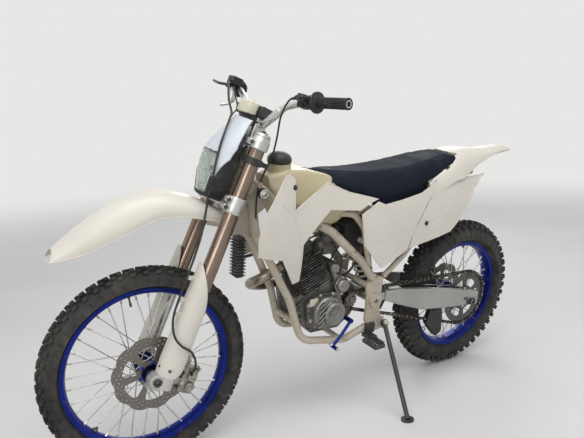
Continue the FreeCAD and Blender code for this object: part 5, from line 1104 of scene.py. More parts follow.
# Height, how far ahead the middle and the edge lie, half width
COWL_ROWS = [(873, 84, 52, 56), (800, 116, 74, 80), (735, 140, 84, 92), (665, 134, 98, 84),
             (596, 118, 90, 60)]
LENS_OUTLINE = [(-52, 739), (52, 739), (57, 733), (63.5, 694), (62.5, 685), (46, 612), (40, 606), (-40, 606),
                (-46, 612), (-62.5, 685), (-63.5, 694), (-57, 733)]
LENS_MIDDLE = 674
# Share of the lens outline, and depth behind the cowl
REFLECTOR_ROWS = [(0.9, 11.0), (0.86, 17.0), (0.7, 25.0), (0.5, 31.0), (0.3, 34.5), (0.16, 35.5)]
BEZEL_SHARE = 1.025
BEZEL_RISE = 0.4
BULB = turned([(0, 8), (4, 8), (6, 6.2), (16, 6.2), (21, 4), (23, 1)], 16)
BULB_DEPTH = 34


def cowl_ahead(left, up):
    """How far ahead the cowl's face lies."""
    for upper, lower in zip(COWL_ROWS, COWL_ROWS[1:]):
        if lower[0] <= up <= upper[0]:
            share = (up - lower[0]) / (upper[0] - lower[0])
            depths = []
            for _, centre, edge, half in (lower, upper):
                sag = centre - edge
                bend = (half * half + sag * sag) / (2 * sag)
                depths.append(centre - bend + math.sqrt(max(bend * bend - left * left, 0.0)))
            return depths[0] + (depths[1] - depths[0]) * share
    return COWL_ROWS[-1][1]


def lens_ring(share, sunk):
    """The lens outline, drawn in towards its middle by a share and sunk behind the cowl."""
    points = []
    for index, (left, up) in enumerate(LENS_OUTLINE):
        after_left, after_up = LENS_OUTLINE[(index + 1) % len(LENS_OUTLINE)]
        for part in (0, 0.25, 0.5, 0.75):
            across = (left + (after_left - left) * part) * share
            height = LENS_MIDDLE + (up + (after_up - up) * part - LENS_MIDDLE) * share
            points.append(Vector((cowl_ahead(across, height) - sunk, across, height)))
    return points


def lamp():
    """Bezel, stepped reflector and bulb."""
    rings = [lens_ring(share, sunk) for share, sunk in REFLECTOR_ROWS]
    points = [point for row in rings for point in row]
    columns = len(rings[0])
    bowl = Build()
    bowl.add((points, grid_faces(len(rings), columns) + end_faces(len(points), columns)[1:]), FORK)
    bowl.piece("lamp_reflector", "lamp_glass", "fork", finish=REFLECTOR)
    bezel = Build()
    edge = lens_ring(BEZEL_SHARE, -BEZEL_RISE)
    bezel.add(swept(edge + edge[:2], 1.6, 8), FORK)
    bezel.piece("lamp_bezel", "black_plastic", "fork")
    bulb = Build()
    middle = (cowl_ahead(0, LENS_MIDDLE) - BULB_DEPTH, 0, LENS_MIDDLE)
    bulb.add(BULB, FORK @ aimed(middle, AHEAD))
    bulb.piece("lamp_bulb", "lamp_glass", "fork", finish=BULB_GLASS)


lamp()


# Edges, seams and creases of the bodywork, on both sides: node, radius, (ahead, up) rows

EDGE_BEADS = [
    ("shrouds", 1.3, [(1004, 984), (1024, 981), (1049, 957), (1088, 920), (1143, 862), (1153, 800),
                      (1151, 751), (1112, 738)]),
    ("shrouds", 1.1, [(990, 962), (1000, 872), (922, 899), (841, 938), (742, 894)]),
    ("shrouds", 1.0, [(1060, 900), (1010, 860), (985, 800), (972, 740), (972, 640)]),
    ("side_panels", 1.1, [(601, 846), (678, 808), (664, 699), (577, 601), (566, 602), (459, 650)]),
    ("side_panels", 0.9, [(668, 700), (600, 702), (520, 730), (450, 790), (404, 848)]),
    ("number_panels", 1.2, [(340, 831), (191, 884), (22, 897), (82, 838), (142, 756), (219, 692),
                            (438, 656)]),
    ("number_panels", 0.9, [(410, 690), (330, 720), (250, 790), (200, 840), (120, 862)]),
]
# Ahead, left and up along the left edge of each fender
FRONT_FENDER_EDGE = [(-30, 52, 545), (60, 66, 533), (150, 76, 518), (230, 78, 486), (320, 72, 398),
                     (400, 60, 315), (478, 38, 262)]
REAR_FENDER_EDGE = [(15, 75, 941), (-90, 51, 962), (-225, 25, 970)]
TIP_TURNS = [math.radians(turn) for turn in (60, 30, 0, -30, -60)]


def edge_beads():
    """Rolled edges and pressed creases, seated on the panels' outer faces."""
    for order, (node, radius, rows) in enumerate(EDGE_BEADS):
        made = Build()
        for side in (1, -1):
            path = smooth_path([(ahead, up, 0) for ahead, up in rows], 7)
            seats = [on_surface(node, ahead, up, side) for ahead, up, _ in path]
            made.add(swept([BIKE @ seat[0] for seat in seats if seat], radius / 1000, 8), WORLD)
        made.piece(f"{node}_edge_{order}", "white_plastic", "chassis")


def fender_lip(name, place, edge, tip, body, radius):
    """The rolled lip along both edges and round the tip, which reaches so far beyond them."""
    left = smooth_path(edge)
    end = left[-1]
    across = [Vector((end.x + tip * math.cos(turn), end.y * math.sin(turn), end.z)) for turn in TIP_TURNS]
    right = [beside(point, -1) for point in reversed(left)]
    made = Build()
    made.add(swept(left + across + right, radius, 10), place)
    made.piece(name, "white_plastic", body)


edge_beads()
fender_lip("front_fender_lip", FORK, FRONT_FENDER_EDGE, 0.5, "fork", radius=2.2)
fender_lip("rear_fender_lip", BIKE, REAR_FENDER_EDGE, -0.5, "chassis", radius=2.4)


# Bars and controls, in the fork's frame

BAR_END = Vector((-36, 402, 1000))
BAR_BEND = Vector((0, 235, 974))
BAR_WAY = (BAR_END - BAR_BEND).normalized()
GRIP_LENGTH = 128
GRIP_RIBS = 26
RIBS_START, RIBS_RUN = 11, 110
GRIP_RIB = [(0, 16.5), (1.1, 16.5), (1.6, 14.8), (3.4, 14.8)]
GRIP_FLANGE = [(0, 11.2), (0, 30), (2, 32), (6, 32), (8, 29), (9, 18.5)]
GRIP_END = [(121.5, 17.2), (127.5, 17.2), (127.9, 11.2)]
GRIP_RIDGES = 18
GRIP_RIDGE = soft_block((-1.6, 11.5, 14.2), (1.6, 119.5, 16.6), 0.6)
SWITCH_BLOCK = soft_block((-17, -14, -19), (19, 14, 19), 5)
# How far in from the bar's end each lies
PERCH_INSET, SWITCH_INSET, DRUM_INSET = 146, 176, 138.5
PERCH_BOLTS = [(-12, -5, 20.5), (-12, 5, 20.5)]
PERCH_BOLT_WAY = (-0.4, 0, 1)
PERCH_CLAMP = ring([(-10, 11.4), (-10, 20.5), (-8, 21.8), (8, 21.8), (10, 20.5), (10, 11.4)], 28)
ADJUSTER = turned([(0, 6.2), (4, 7.4), (12, 7.4), (14, 5), (24, 4.6), (30, 3.4)], 18)
ADJUSTER_PLACE, ADJUSTER_WAY = (34, 246, 978), (0.05, -1, -0.35)
SWITCH_BUTTON_PLACE = (-6, 4, 19)
SWITCH_BUTTON = turned([(0, 4.2), (4, 4.2), (4.5, 3)], 14)
THROTTLE_DRUM = ring([(-14, 11.4), (-14, 27), (-11, 30), (6, 30), (9, 27), (9, 11.4)], 30)
BRAKE_CYLINDER = turned([(0, 6), (4, 11.5), (8, 13), (40, 13), (43, 11.5), (56, 9)], 24)
CYLINDER_FOOT, CYLINDER_TOP = Vector((10, -245, 919)), Vector((25, -248, 974))
BRAKE_LEVER = hose([(10, -245, 921), (20, -250, 912), (32, -254, 904), (42, -257, 899)], 5.5)
DISPLAY_CASE = soft_block((43, -34, 889), (78.5, 47.5, 931.5), 5)
DISPLAY_WINDOW = soft_block((52, -24, 930), (70, 16, 932.5), 1)
BAR_PAD = soft_block((-14, -30, 889), (41, 57, 928), 8)
KEY_PLACES = [(61, 24, 931), (61, 34, 931)]
DISPLAY_KEY = turned([(0, 3.6), (1.8, 3.4), (2.4, 2)], 14)
DISPLAY_WIRE = hose([(66, -20, 905), (84, -26, 880), (88, -30, 840), (80, -32, 800)], 2.2, segments=8)


def on_bar(inset, side):
    """A placement on the bar's axis, so far from its end, with Y towards that end."""
    return FORK @ aimed(beside(BAR_END - BAR_WAY * inset, side), beside(BAR_WAY, side))


def hand_grips():
    """Waffled sleeves, with wide flanges at their inner ends."""
    rows = list(GRIP_FLANGE)
    for index in range(GRIP_RIBS):
        rows += [(RIBS_START + RIBS_RUN * index / GRIP_RIBS + along, radius) for along, radius in GRIP_RIB]
    rows += GRIP_END
    made = Build()
    for side in (1, -1):
        sleeve = on_bar(GRIP_LENGTH, side)
        made.add(ring(rows, 30), sleeve)
        for turn in around(GRIP_RIDGES):
            made.add(GRIP_RIDGE, sleeve @ spun(turn))
    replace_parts(made.piece("waffle_grips", "grip_rubber", "fork"), "grips")


def control_trim():
    """Clamp halves, adjuster, switch block, throttle drum, and the right brake cylinder and lever."""
    dark = Build()
    bright = Build()
    for side in (1, -1):
        clamp = on_bar(PERCH_INSET, side)
        dark.add(PERCH_CLAMP, clamp)
        for at in PERCH_BOLTS:
            bright.bolt(3.2, 3, at, PERCH_BOLT_WAY, clamp, button_bolt)
    dark.add(ADJUSTER, FORK @ aimed(ADJUSTER_PLACE, ADJUSTER_WAY))
    switch = on_bar(SWITCH_INSET, 1)
    dark.add(SWITCH_BLOCK, switch)
    bright.add(SWITCH_BUTTON, switch @ aimed(SWITCH_BUTTON_PLACE, UP))
    dark.add(THROTTLE_DRUM, on_bar(DRUM_INSET, -1))
    bright.add(BRAKE_CYLINDER, FORK @ aimed(CYLINDER_FOOT, CYLINDER_TOP - CYLINDER_FOOT))
    bright.add(BRAKE_LEVER, FORK)
    dark.piece("control_clamps", "black_metal", "fork")
    bright.piece("control_bolts", "clamp_alloy", "fork")


def instrument_face():
    """Cream display case with its dark window, keys and wire, and the pad behind it."""
    case = Build()
    case.add(DISPLAY_CASE, FORK)
    case.piece("display_case", "black_plastic", "fork", finish=CREAM_PLASTIC)
    dark = Build()
    dark.add(BAR_PAD, FORK)
    dark.add(DISPLAY_WINDOW, FORK)
    for place in KEY_PLACES:
        dark.add(DISPLAY_KEY, FORK @ aimed(place, UP))
    dark.add(DISPLAY_WIRE, FORK)
    dark.piece("display_window", "black_plastic", "fork")


hand_grips()
control_trim()
instrument_face()


# Spars and the lever cables' guides, in the head's frame

LEVER_CABLE = [(34, 244, 978), (36, 204, 962), (20, 162, 914), (-14, 126, 850), (-36, 102, 790)]
FRAME_CABLE = [(-50, 61, 736), (-52, 58, 702), (-53, 58, 676), (-68, 59, 630), (-88, 58, 585)]
CABLE_RADIUS = 3
GUIDE_PLACE = (-52, 58, 692)
GUIDE = ring([(-9, 4.2), (-9, 7.8), (-7.5, 8.5), (7.5, 8.5), (9, 7.8), (9, 4.2)], 28)
CAST_GUIDE = (-47, 66)
CAST_GUIDE_HEIGHTS = (682, 702)
CAST_GUIDE_REACH = 8.5


def is_guide(point):
    """Whether a point of the head's frame lies on one of the cast cable guides."""
    low, high = CAST_GUIDE_HEIGHTS
    away = math.hypot(point.x - CAST_GUIDE[0], abs(point.y) - CAST_GUIDE[1])
    return low < point.z < high and away < CAST_GUIDE_REACH


def welded_spars():
    """The spars with their cable guides set further in, so that the legs turn clear of them."""
    spars = copied("frame_spars", "welded_spars", "frame_paint")
    form = bmesh.new()
    form.from_mesh(spars.data)
    to_head = HEAD.inverted()
    taken = [vertex for vertex in form.verts if is_guide(to_head @ vertex.co)]
    bmesh.ops.delete(form, geom=taken, context="VERTS")
    form.to_mesh(spars.data)
    form.free()
    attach(spars, "chassis")
    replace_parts(spars, "frame_spars")
    guides = Build()
    for side in (1, -1):
        guides.add(GUIDE, HEAD @ Matrix.Translation(beside(GUIDE_PLACE, side)) @ UPRIGHT)
    guides.piece("cable_guides", "frame_paint", "chassis")


def bar_cables():
    """Clutch and throttle cables from the levers through their guides on the frame and down inside."""
    made = Build()
    for side in (1, -1):
        path = [FORK @ beside(point, side) for point in LEVER_CABLE]
        path += [HEAD @ beside(point, side) for point in FRAME_CABLE]
        made.add(hose(path, CABLE_RADIUS / 1000, steps=10), WORLD)
    piece = made.piece("lever_cables", "hose_rubber", None)
    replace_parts(piece, "bar_cables")
    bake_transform(piece)


welded_spars()
bar_cables()


# Fork: tubes, sleeves, clamps, guards, axle lugs, caliper and hose

LEG_AHEAD = 22
LEG_SIDE = 103
TUBE = turned([(321.5, 23.8), (321.5, 26.8), (324, 27.4), (332, 27.4), (335, 25.6), (560, 25.2),
               (575, 24.4), (838, 24.4), (842, 22.8), (843.5, 20.5), (843.5, 0)], 48)
TOP_SLEEVE = ring([(794, 24.6), (794, 29.5), (797, 30.5), (823, 30.5), (826, 28.2), (833, 27.8),
                   (835, 26.8), (835, 24.6)], 44)
LOW_SLEEVE = ring([(581, 24.6), (579, 30.5), (582, 31.5), (596, 30.5), (616, 30.5), (630, 31.5),
                   (633, 30.5), (632, 24.6)], 44)
LEG_CAP = turned([(836, 0), (836, 26.2), (843.5, 25.8), (845.5, 24), (845.5, 17.5), (844.5, 17),
                  (844.5, 0)], 44)
CAP_HEXAGON = turned([(844, 13.5), (849.5, 13.5), (850, 12.5)], 6)
CAP_ADJUSTER = turned([(850, 6), (854, 6), (855, 4.5)], 12)
# Low and high side of each pinch lug
PINCH_LUGS = [(799, 821), (584, 603), (609, 628)]
LUG_ENDS = (18, 43)
LUG_INNER, LUG_OUTER = -10, 15
LUG_BOLT_AHEAD = 35.5
CLAMP_EDGE = [(34, 16), (40, 52), (46, 82)]
CLAMP_REAR = [(-10, 84), (-24, 50), (-31, 20)]
CLAMP_ROUND = 31
CLAMP_TURNS = [math.radians(38 + 15 * step) for step in range(13)]
LOWER_CLAMP = (586.5, 627.5)
UPPER_CLAMP = (797, 822.5)
STEM = turned([(625, 23.8), (640, 16.5), (795, 16.5)], 28)
STEM_NUT = turned([(822.5, 20.5), (824.5, 20.5), (824.5, 17), (834, 17), (835.5, 15.5), (835.5, 9),
                   (833, 8.5), (833, 0)], 6)
# Low and high side of each riser and of its cap
RISERS = [(818, 872.5), (874.5, 892)]
RISER_ENDS = (-5, 37)
RISER_SIDES = (32, 54)
RISER_BOLTS_AHEAD = (0.5, 31.5)
RISER_BOLT_SEAT = 891.5
# Height, radius, and turn in degrees of the front edge and of the rear edge from straight ahead
GUARD_ROWS = [
    (402, 36, -22, 14), (392, 37, -30, 34), (372, 38, -42, 58), (340, 39, -52, 84), (300, 40, -58, 108),
    (262, 41, -62, 122), (220, 41, -64, 126), (150, 41.5, -66, 128), (90, 42, -66, 130), (55, 41.5, -62, 128),
    (36, 41, -48, 112), (26, 40, -30, 88),
]
GUARD_STEPS = 26
GUARD_WALL = 3
GUARD_LENGTHEN = 1.06
GUARD_BOLT_TURNS = (12, 66)
GUARD_BOLT_REACH, GUARD_BOLT_HEIGHT = 41.8, 52
HOSE_TAB_HEIGHTS = (349, 273, 226)
HOSE_TAB = soft_block((-1.8, 0, -7.5), (1.8, 18, 7.5), 1.2)
HOSE_TAB_EYE = ring([(-6, 4.6), (-6, 7.2), (6, 7.2), (6, 4.6)], 16)


def leg_frame(side):
    return FORK @ moved(LEG_AHEAD, side * LEG_SIDE, 0)


def guard_shell(side):
    """A curved shell round the front and outer side of a leg, in that leg's frame."""
    firsts = smooth_path([(height, radius, first) for height, radius, first, _ in GUARD_ROWS], 4)
    lasts = smooth_path([(height, radius, last) for height, radius, _, last in GUARD_ROWS], 4)
    steps = range(GUARD_STEPS)
    points = []
    for (height, radius, first), (_, _, last) in zip(firsts, lasts):
        for reach, order in ((radius, steps), (radius - GUARD_WALL, reversed(steps))):
            for step in order:
                turn = math.radians(first + (last - first) * step / (GUARD_STEPS - 1))
                ahead = GUARD_LENGTHEN * reach * math.cos(turn)
                points.append((ahead, side * reach * math.sin(turn), height))
    columns = 2 * GUARD_STEPS
    faces = grid_faces(len(firsts), columns)
    for start in (0, len(points) - columns):
        for step in range(GUARD_STEPS - 1):
            faces.append([start + step, start + step + 1, start + columns - 2 - step,
                          start + columns - 1 - step])
    return points, faces


def fork_covers():
    """The legs' guards with their bolts, and the hose's three tabs on the left guard."""
    shells = Build()
    bolts = Build()
    for side in (1, -1):
        shells.add(guard_shell(side), leg_frame(side))
        for turn in GUARD_BOLT_TURNS:
            way = Vector((math.cos(math.radians(turn)), side * math.sin(math.radians(turn)), 0))
            at = way * GUARD_BOLT_REACH + Vector((0, 0, GUARD_BOLT_HEIGHT))
            bolts.bolt(4.2, 3.5, at, way, leg_frame(side))
    for height in HOSE_TAB_HEIGHTS:
        tab = leg_frame(1) @ aimed((36, 6, height), (1, 0.28, 0))
        shells.add(HOSE_TAB, tab)
        shells.add(HOSE_TAB_EYE, tab @ aimed((0, 24, 0), UP))
    piece = shells.piece("curved_guards", "white_plastic", "fork", sharp=50.0)
    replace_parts(piece, "fork_guards")
    bolts.piece("guard_bolts", "dark_steel", "fork", sharp=30.0)


def clamp_outline():
    """Half by half: the front edge, round the leg and back along the rear edge."""
    half = list(CLAMP_EDGE)
    for turn in CLAMP_TURNS:
        half.append((LEG_AHEAD + CLAMP_ROUND * math.cos(turn), LEG_SIDE + CLAMP_ROUND * math.sin(turn)))
    half += CLAMP_REAR
    return half + [(ahead, -left) for ahead, left in reversed(half)]


def clamp_plates():
    """The two clamps: waisted plates, the stem, its nut and the bar's risers with their caps."""
    upright = FORK @ UPRIGHT
    lower = Build()
    lower.add(plate(clamp_outline(), [], *LOWER_CLAMP), upright)
    lower.add(STEM, upright)
    upper = Build()
    upper.add(plate(clamp_outline(), [], *UPPER_CLAMP), upright)
    bolts = Build()
    bolts.add(STEM_NUT, upright)
    back, front = RISER_ENDS
    for side in (1, -1):
        inner, outer = sorted(side * along for along in RISER_SIDES)
        for low, high in RISERS:
            upper.add(soft_block((back, inner, low), (front, outer, high), 4), FORK)
        for ahead in RISER_BOLTS_AHEAD:
            bolts.bolt(4.2, 4, (ahead, (inner + outer) / 2, RISER_BOLT_SEAT), UP, FORK)
    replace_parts(lower.piece("lower_clamp_casting", "clamp_alloy", "fork"), "lower_clamp")
    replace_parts(upper.piece("upper_clamp_casting", "clamp_alloy", "fork"), "upper_clamp")
    bolts.piece("riser_bolts", "dark_steel", "fork", sharp=30.0)


def clamp_sleeves():
    """Tubes, the sleeves cast round them, pinch lugs and bolts, and the caps' adjusters."""
    tubes = Build()
    cast = Build()
    bolts = Build()
    dark = Build()
    back, front = LUG_ENDS
    for side in (1, -1):
        leg = leg_frame(side)
        upright = leg @ UPRIGHT
        tubes.add(TUBE, upright)
        cast.add(TOP_SLEEVE, upright)
        cast.add(LOW_SLEEVE, upright)
        cast.add(LEG_CAP, upright)
        right, left = sorted((side * LUG_INNER, side * LUG_OUTER))
        for low, high in PINCH_LUGS:
            cast.add(soft_block((back, right, low), (front, left, high), 4.5), leg)
            seat = (LUG_BOLT_AHEAD, side * LUG_OUTER, (low + high) / 2)
            bolts.bolt(5.6, 5, seat, (0, side, 0), leg)
        bolts.add(CAP_HEXAGON, upright)
        dark.add(CAP_ADJUSTER, upright)
    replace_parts(tubes.piece("anodised_tubes", "fork_tube_alloy", "fork"), "fork_tubes")
    cast.piece("clamp_sleeves", "clamp_alloy", "fork")
    bolts.piece("clamp_bolts", "dark_steel", "fork", sharp=30.0)
    dark.piece("fork_adjusters", "black_metal", "fork")


AXLE_BOSS = [(79.5, 14.5), (79.5, 23.5), (86, 27), (108, 28.5), (118, 28), (123.8, 25.5), (124.2, 19.5),
             (121.5, 17.5), (121.5, 14.5)]
FOOT_SIDE = 101
PINCH_SIDES = (92, 110)
PINCH_AHEAD, PINCH_HEIGHT = 76, -24
# Low, high, half width, back and front, edge radius: the foot's block and its pinch lug
AXLE_FOOT = [(-19, 32, 17, (12, 58), 7), (-31, -17, 15, (30, 76), 5)]


def axle_lugs():
    """Cast feet of the legs, each with its axle boss, pinch lug and two pinch bolts."""
    cast = Build()
    bolts = Build()
    axle = FORK @ moved(AXLE_AHEAD, 0, 0)
    for side in (1, -1):
        middle = side * FOOT_SIDE
        cast.add(ring([(side * along, radius) for along, radius in AXLE_BOSS], 40), axle)
        for low, high, half, ends, radius in AXLE_FOOT:
            back, front = ends
            cast.add(soft_block((back, middle - half, low), (front, middle + half, high), radius), FORK)
        for along in PINCH_SIDES:
            bolts.bolt(5.2, 4.8, (PINCH_AHEAD, side * along, PINCH_HEIGHT), AHEAD, FORK)
    cast.piece("axle_lugs", "clamp_alloy", "fork")
    bolts.piece("axle_bolts", "slider_steel", "fork", sharp=30.0)


# Two corners and edge radius: outer half, inner half, two bridges, slide bracket, hanger
CALIPER_BLOCKS = [
    ((-96, 60.5, -36), (-44, 77.5, 60), 6), ((-96, 32, -36), (-44, 46.5, 60), 6),
    ((-96, 32, 44), (-60, 77.5, 62), 5), ((-96, 32, -37), (-60, 77.5, -22), 5),
    ((-60, 61.5, -14), (20, 74.5, 12), 4), ((-56, 61.5, 34), (-34, 74.5, 94), 4),
]
# Ahead, up and radius of each piston's boss
PISTONS = [(-74, 26, 17.5), (-78, -10, 16.5)]
# Place, way and radius
CALIPER_BOLTS = [((-45, 77.5, 84), LEFT, 6), ((-50, 77.5, -2), LEFT, 6), ((-86, 60, 62), UP, 4.2),
                 ((-100, 55, 20), BACK, 4.2), ((-100, 55, -10), BACK, 4.2)]
BLEED_NIPPLE = swept([(-92, 84, 46), (-92, 84, 62)], 3, 10)
ROUTED_HOSE = hose([(50.2, -238, 990), (82, -150, 958), (88, -90, 912), (86, -42, 878), (104, 6, 850),
                   (116, 34, 818), (124, 56, 772), (125, 72, 718), (118, 80, 662), (108, 78, 606),
                   (98, 84, 552), (92, 100, 487), (94, 117, 420), (97, 127, 349), (95, 128, 273),
                   (92, 129, 226), (84, 138, 190), (66, 148, 160), (36, 152, 141), (-4, 145, 128),
                   (-40, 126, 96), (-60, 106, 62), (-66, 84, 38)], 3.7)
HOSE_BANJO = (-66, 84, 36)


def front_caliper():
    """Two-piston caliper behind the left leg, with its bracket, bolts and bleed nipple."""
    cast = Build()
    for low, high, radius in CALIPER_BLOCKS:
        cast.add(soft_block(low, high, radius), FORK)
    for ahead, up, radius in PISTONS:
        cast.add(turned([(75, radius), (86, radius), (89, radius * 0.86), (89, radius * 0.6),
                         (87, radius * 0.5), (87, 0)], 32), FORK @ moved(ahead, 0, up))
    cast.piece("caliper_castings", "engine_alloy", "fork", finish=CALIPER_ALLOY)
    bolts = Build()
    for at, way, radius in CALIPER_BOLTS:
        bolts.bolt(radius, radius * 0.8, at, way, FORK)
    bolts.add(BLEED_NIPPLE, FORK)
    piece = bolts.piece("caliper_bolts", "clamp_alloy", "fork", sharp=30.0)
    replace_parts(piece, "front_caliper")


def brake_hose():
    """Front hose: over the cowl, through the guard's tabs and round the leg to the caliper."""
    made = Build()
    made.add(ROUTED_HOSE, FORK)
    made.add(turned([(-5, 6.5), (5, 6.5)], 6), FORK @ moved(*HOSE_BANJO))
    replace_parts(made.piece("routed_hose", "hose_rubber", "fork"), "front_brake_hose")


CALIPER_ALLOY = worn("caliper_alloy", (0.34, 0.31, 0.27), 0.4, 0.85, 0.15, (320.0, 0.0002),
                     (GRIME, 0.5, 50.0), 0.4, (BARE_METAL, 0.0012))
fork_covers()
clamp_plates()
clamp_sleeves()
axle_lugs()
front_caliper()
brake_hose()


# Fuel cap and horn

CAP_AHEAD = 966
CAP_ROWS = [(996.3, 38), (998, 41), (1006, 42.5), (1015, 41), (1023, 36), (1030, 27), (1034, 15), (1035, 4)]
CAP_TOP = 1036
CAP_COLUMNS = 72
CAP_LOBES = 10
LOBE_SHARE = 0.045
LOBE_FADE = 24
HORN = turned([(0, 16.5), (4, 16), (6, 11), (4.5, 9), (7.5, 4), (8, 0)], 28)
HORN_PLACE, HORN_WAY = (1062, 66, 911), (0.3, 1, 0.1)


def fuel_cap():
    """A domed cap with soft grip lobes that fade towards its top."""
    points = []
    for up, radius in CAP_ROWS:
        depth = LOBE_SHARE * min(1.0, (CAP_TOP - up) / LOBE_FADE)
        for turn in around(CAP_COLUMNS):
            reach = radius * (1 - depth * (0.5 - 0.5 * math.cos(CAP_LOBES * turn)) ** 2)
            points.append((CAP_AHEAD + reach * math.cos(turn), reach * math.sin(turn), up))
    made = Build()
    faces = grid_faces(len(CAP_ROWS), CAP_COLUMNS) + end_faces(len(points), CAP_COLUMNS)
    made.add((points, faces), BIKE)
    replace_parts(made.piece("lobed_cap", "black_plastic", "chassis", sharp=60.0), "fuel_cap")


def horn_face():
    made = Build()
    made.add(HORN, BIKE @ aimed(HORN_PLACE, HORN_WAY))
    made.piece("horn_face", "clamp_alloy", "chassis")


fuel_cap()
horn_face()


# Engine: the left cover, the starter, a plate, leads and hoses

COVER_ALLOY = worn("cover_alloy", (0.25, 0.243, 0.228), 0.38, 0.88, 0.14, (420.0, 0.0002),
                   ((0.09, 0.075, 0.06), 0.45, 60.0), 0.7, ((0.66, 0.64, 0.6), 0.0018))
COVER_CENTRE = (772, 0, 434)
COVER_DRUM = turned([(72.3, 66), (75, 66.5), (90, 64.5), (95.5, 60), (96.5, 52), (96.5, 0)], 64)
DISC_CENTRE = (752, 0, 430)
COVER_DISC = turned([(94, 48), (108, 47), (112, 43.5), (113, 38), (111.8, 36), (112.5, 12), (111.5, 11.5),
                     (111.5, 9), (113.5, 8.5), (113.5, 0)], 56)
# Half lengths of the ribs, from the top down
COVER_RIBS = (13, 18, 20.5, 18, 13)
RIB_TURN = 0.72
RIB_AHEAD, RIB_TOP, RIB_STEP = 40, 40, 19.5
# Ahead and up
COVER_SCREWS = [(826, 470), (832, 414), (800, 366), (744, 362), (704, 396), (702, 456), (744, 498),
                (800, 500)]
LEVER_PINCH, LEVER_PINCH_WAY = (790, 141.5, 333), (0.5, 0.2, 1)
LEVER_END = (786, 175.5, 326)


def left_cover():
    """The ignition cover: a round drum, a raised disc and slanting ribs ahead of it; its screws."""
    made = Build()
    drum = BIKE @ moved(*COVER_CENTRE)
    made.add(COVER_DRUM, drum)
    made.add(COVER_DISC, BIKE @ moved(*DISC_CENTRE))
    for index, half in enumerate(COVER_RIBS):
        made.add(soft_block((-half, 93, -3.5), (half, 107, 3.5), 2),
                 drum @ moved(RIB_AHEAD, 0, RIB_TOP - RIB_STEP * index) @ spun(RIB_TURN))
    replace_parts(made.piece("left_cover", "engine_alloy", "chassis", finish=COVER_ALLOY), "ignition_cover")
    screws = Build()
    for ahead, up in COVER_SCREWS:
        seat = on_surface("engine_case", ahead, up, 1, -1)
        if seat:
            screws.bolt(4.8, 4.4, *seat, BIKE)
    screws.bolt(6.2, 5, LEVER_PINCH, LEVER_PINCH_WAY, BIKE)
    screws.bolt(6.8, 3, LEVER_END, LEFT, BIKE, button_bolt)
    screws.piece("cover_screws", "clamp_alloy", "chassis", sharp=30.0)


STARTER_DRUM = Vector((742, 0, 598))
STARTER_COVER = Vector((704, 0, 526))
MOTOR_DRUM = turned([(-44, 0), (-44, 22), (52, 22), (56, 20.5), (72, 20), (76, 17), (76.5, 9), (74.5, 8.5),
                    (74.5, 0)], 40)
GEAR_COVER = turned([(30, 29), (66, 29), (67, 31.5), (73, 31.5), (74, 28), (86, 26.5), (90, 22.5),
                     (90.5, 12), (88.5, 11.5), (88.5, 0)], 48)
STARTER_NECK = turned([(0, 21), (30, 18.5), (58, 18.5), (72, 20)], 28)
NECK_SIDE = 48


def screw_circle(screws, centre, turns, circle, along, radius, height):
    """Screws on a circle round a centre of the bike's frame, facing left."""
    for turn in turns:
        at = centre + Vector((circle * math.cos(turn), along, circle * math.sin(turn)))
        screws.bolt(radius, height, at, LEFT, BIKE)


def starter():
    """The motor's drum over the case and its round gear cover below and behind."""
    made = Build()
    made.add(MOTOR_DRUM, BIKE @ moved(*STARTER_DRUM))
    made.add(GEAR_COVER, BIKE @ moved(*STARTER_COVER))
    foot = STARTER_COVER + Vector((0, NECK_SIDE, 0))
    made.add(STARTER_NECK, BIKE @ aimed(foot, STARTER_DRUM - STARTER_COVER))
    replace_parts(made.piece("starter_body", "engine_alloy", "chassis", finish=COVER_ALLOY), "starter_motor")
    screws = Build()
    screw_circle(screws, STARTER_COVER, around(5, 0.4), circle=26.5, along=73, radius=3.6, height=3.4)
    screw_circle(screws, STARTER_DRUM, (0.9, 4.0), circle=14.5, along=75.5, radius=2.8, height=3)
    screws.piece("starter_screws", "clamp_alloy", "chassis", sharp=30.0)


CASE_PLATE = soft_block((812, 70, 466), (848, 76.5, 494), 2)
# Radius, then places: plug lead, breather, fuel hose, starter cable, ignition lead
ENGINE_LEADS = [
    (3.4, [(880, 30, 700), (850, 52, 726), (810, 62, 742), (770, 56, 770), (740, 40, 800)]),
    (3.6, [(742, 40, 616), (730, 46, 650), (700, 50, 690), (660, 46, 730), (640, 30, 770)]),
    (4.6, [(690, 48, 548), (668, 54, 560), (640, 56, 590), (622, 50, 640), (612, 30, 690)]),
    (3.0, [(760, 60, 700), (744, 74, 672), (722, 78, 640), (716, 74, 600), (720, 66, 566)]),
    (3.0, [(800, 40, 552), (820, 70, 548), (850, 74, 530), (880, 66, 500), (890, 50, 470)]),
]


def engine_trim():
    """A bare plate on the case, and the leads and hoses round the engine."""
    label = Build()
    label.add(CASE_PLATE, BIKE)
    label.piece("case_plate", "engine_alloy", "chassis", finish=CREAM_PLASTIC)
    leads = Build()
    for radius, rows in ENGINE_LEADS:
        leads.add(hose(rows, radius), BIKE)
    leads.piece("engine_leads", "hose_rubber", "chassis")


# Corners of the dark sheet of painted shade over the slot ahead of each end of the rear axle, ahead and up
AXLE_SLOT = [(52, 362), (28, 358), (26, 345), (50, 348)]
SLOT_SUNK, SLOT_RISE = -1, 0.9
# Node, ahead, up, radius
PANEL_BOLTS = [("number_panels", 365, 743, 9.5), ("shrouds", 990, 944, 9)]
PANEL_BOLT_HEIGHT = 4.5
PANEL_BOLT_RISE = 0.5


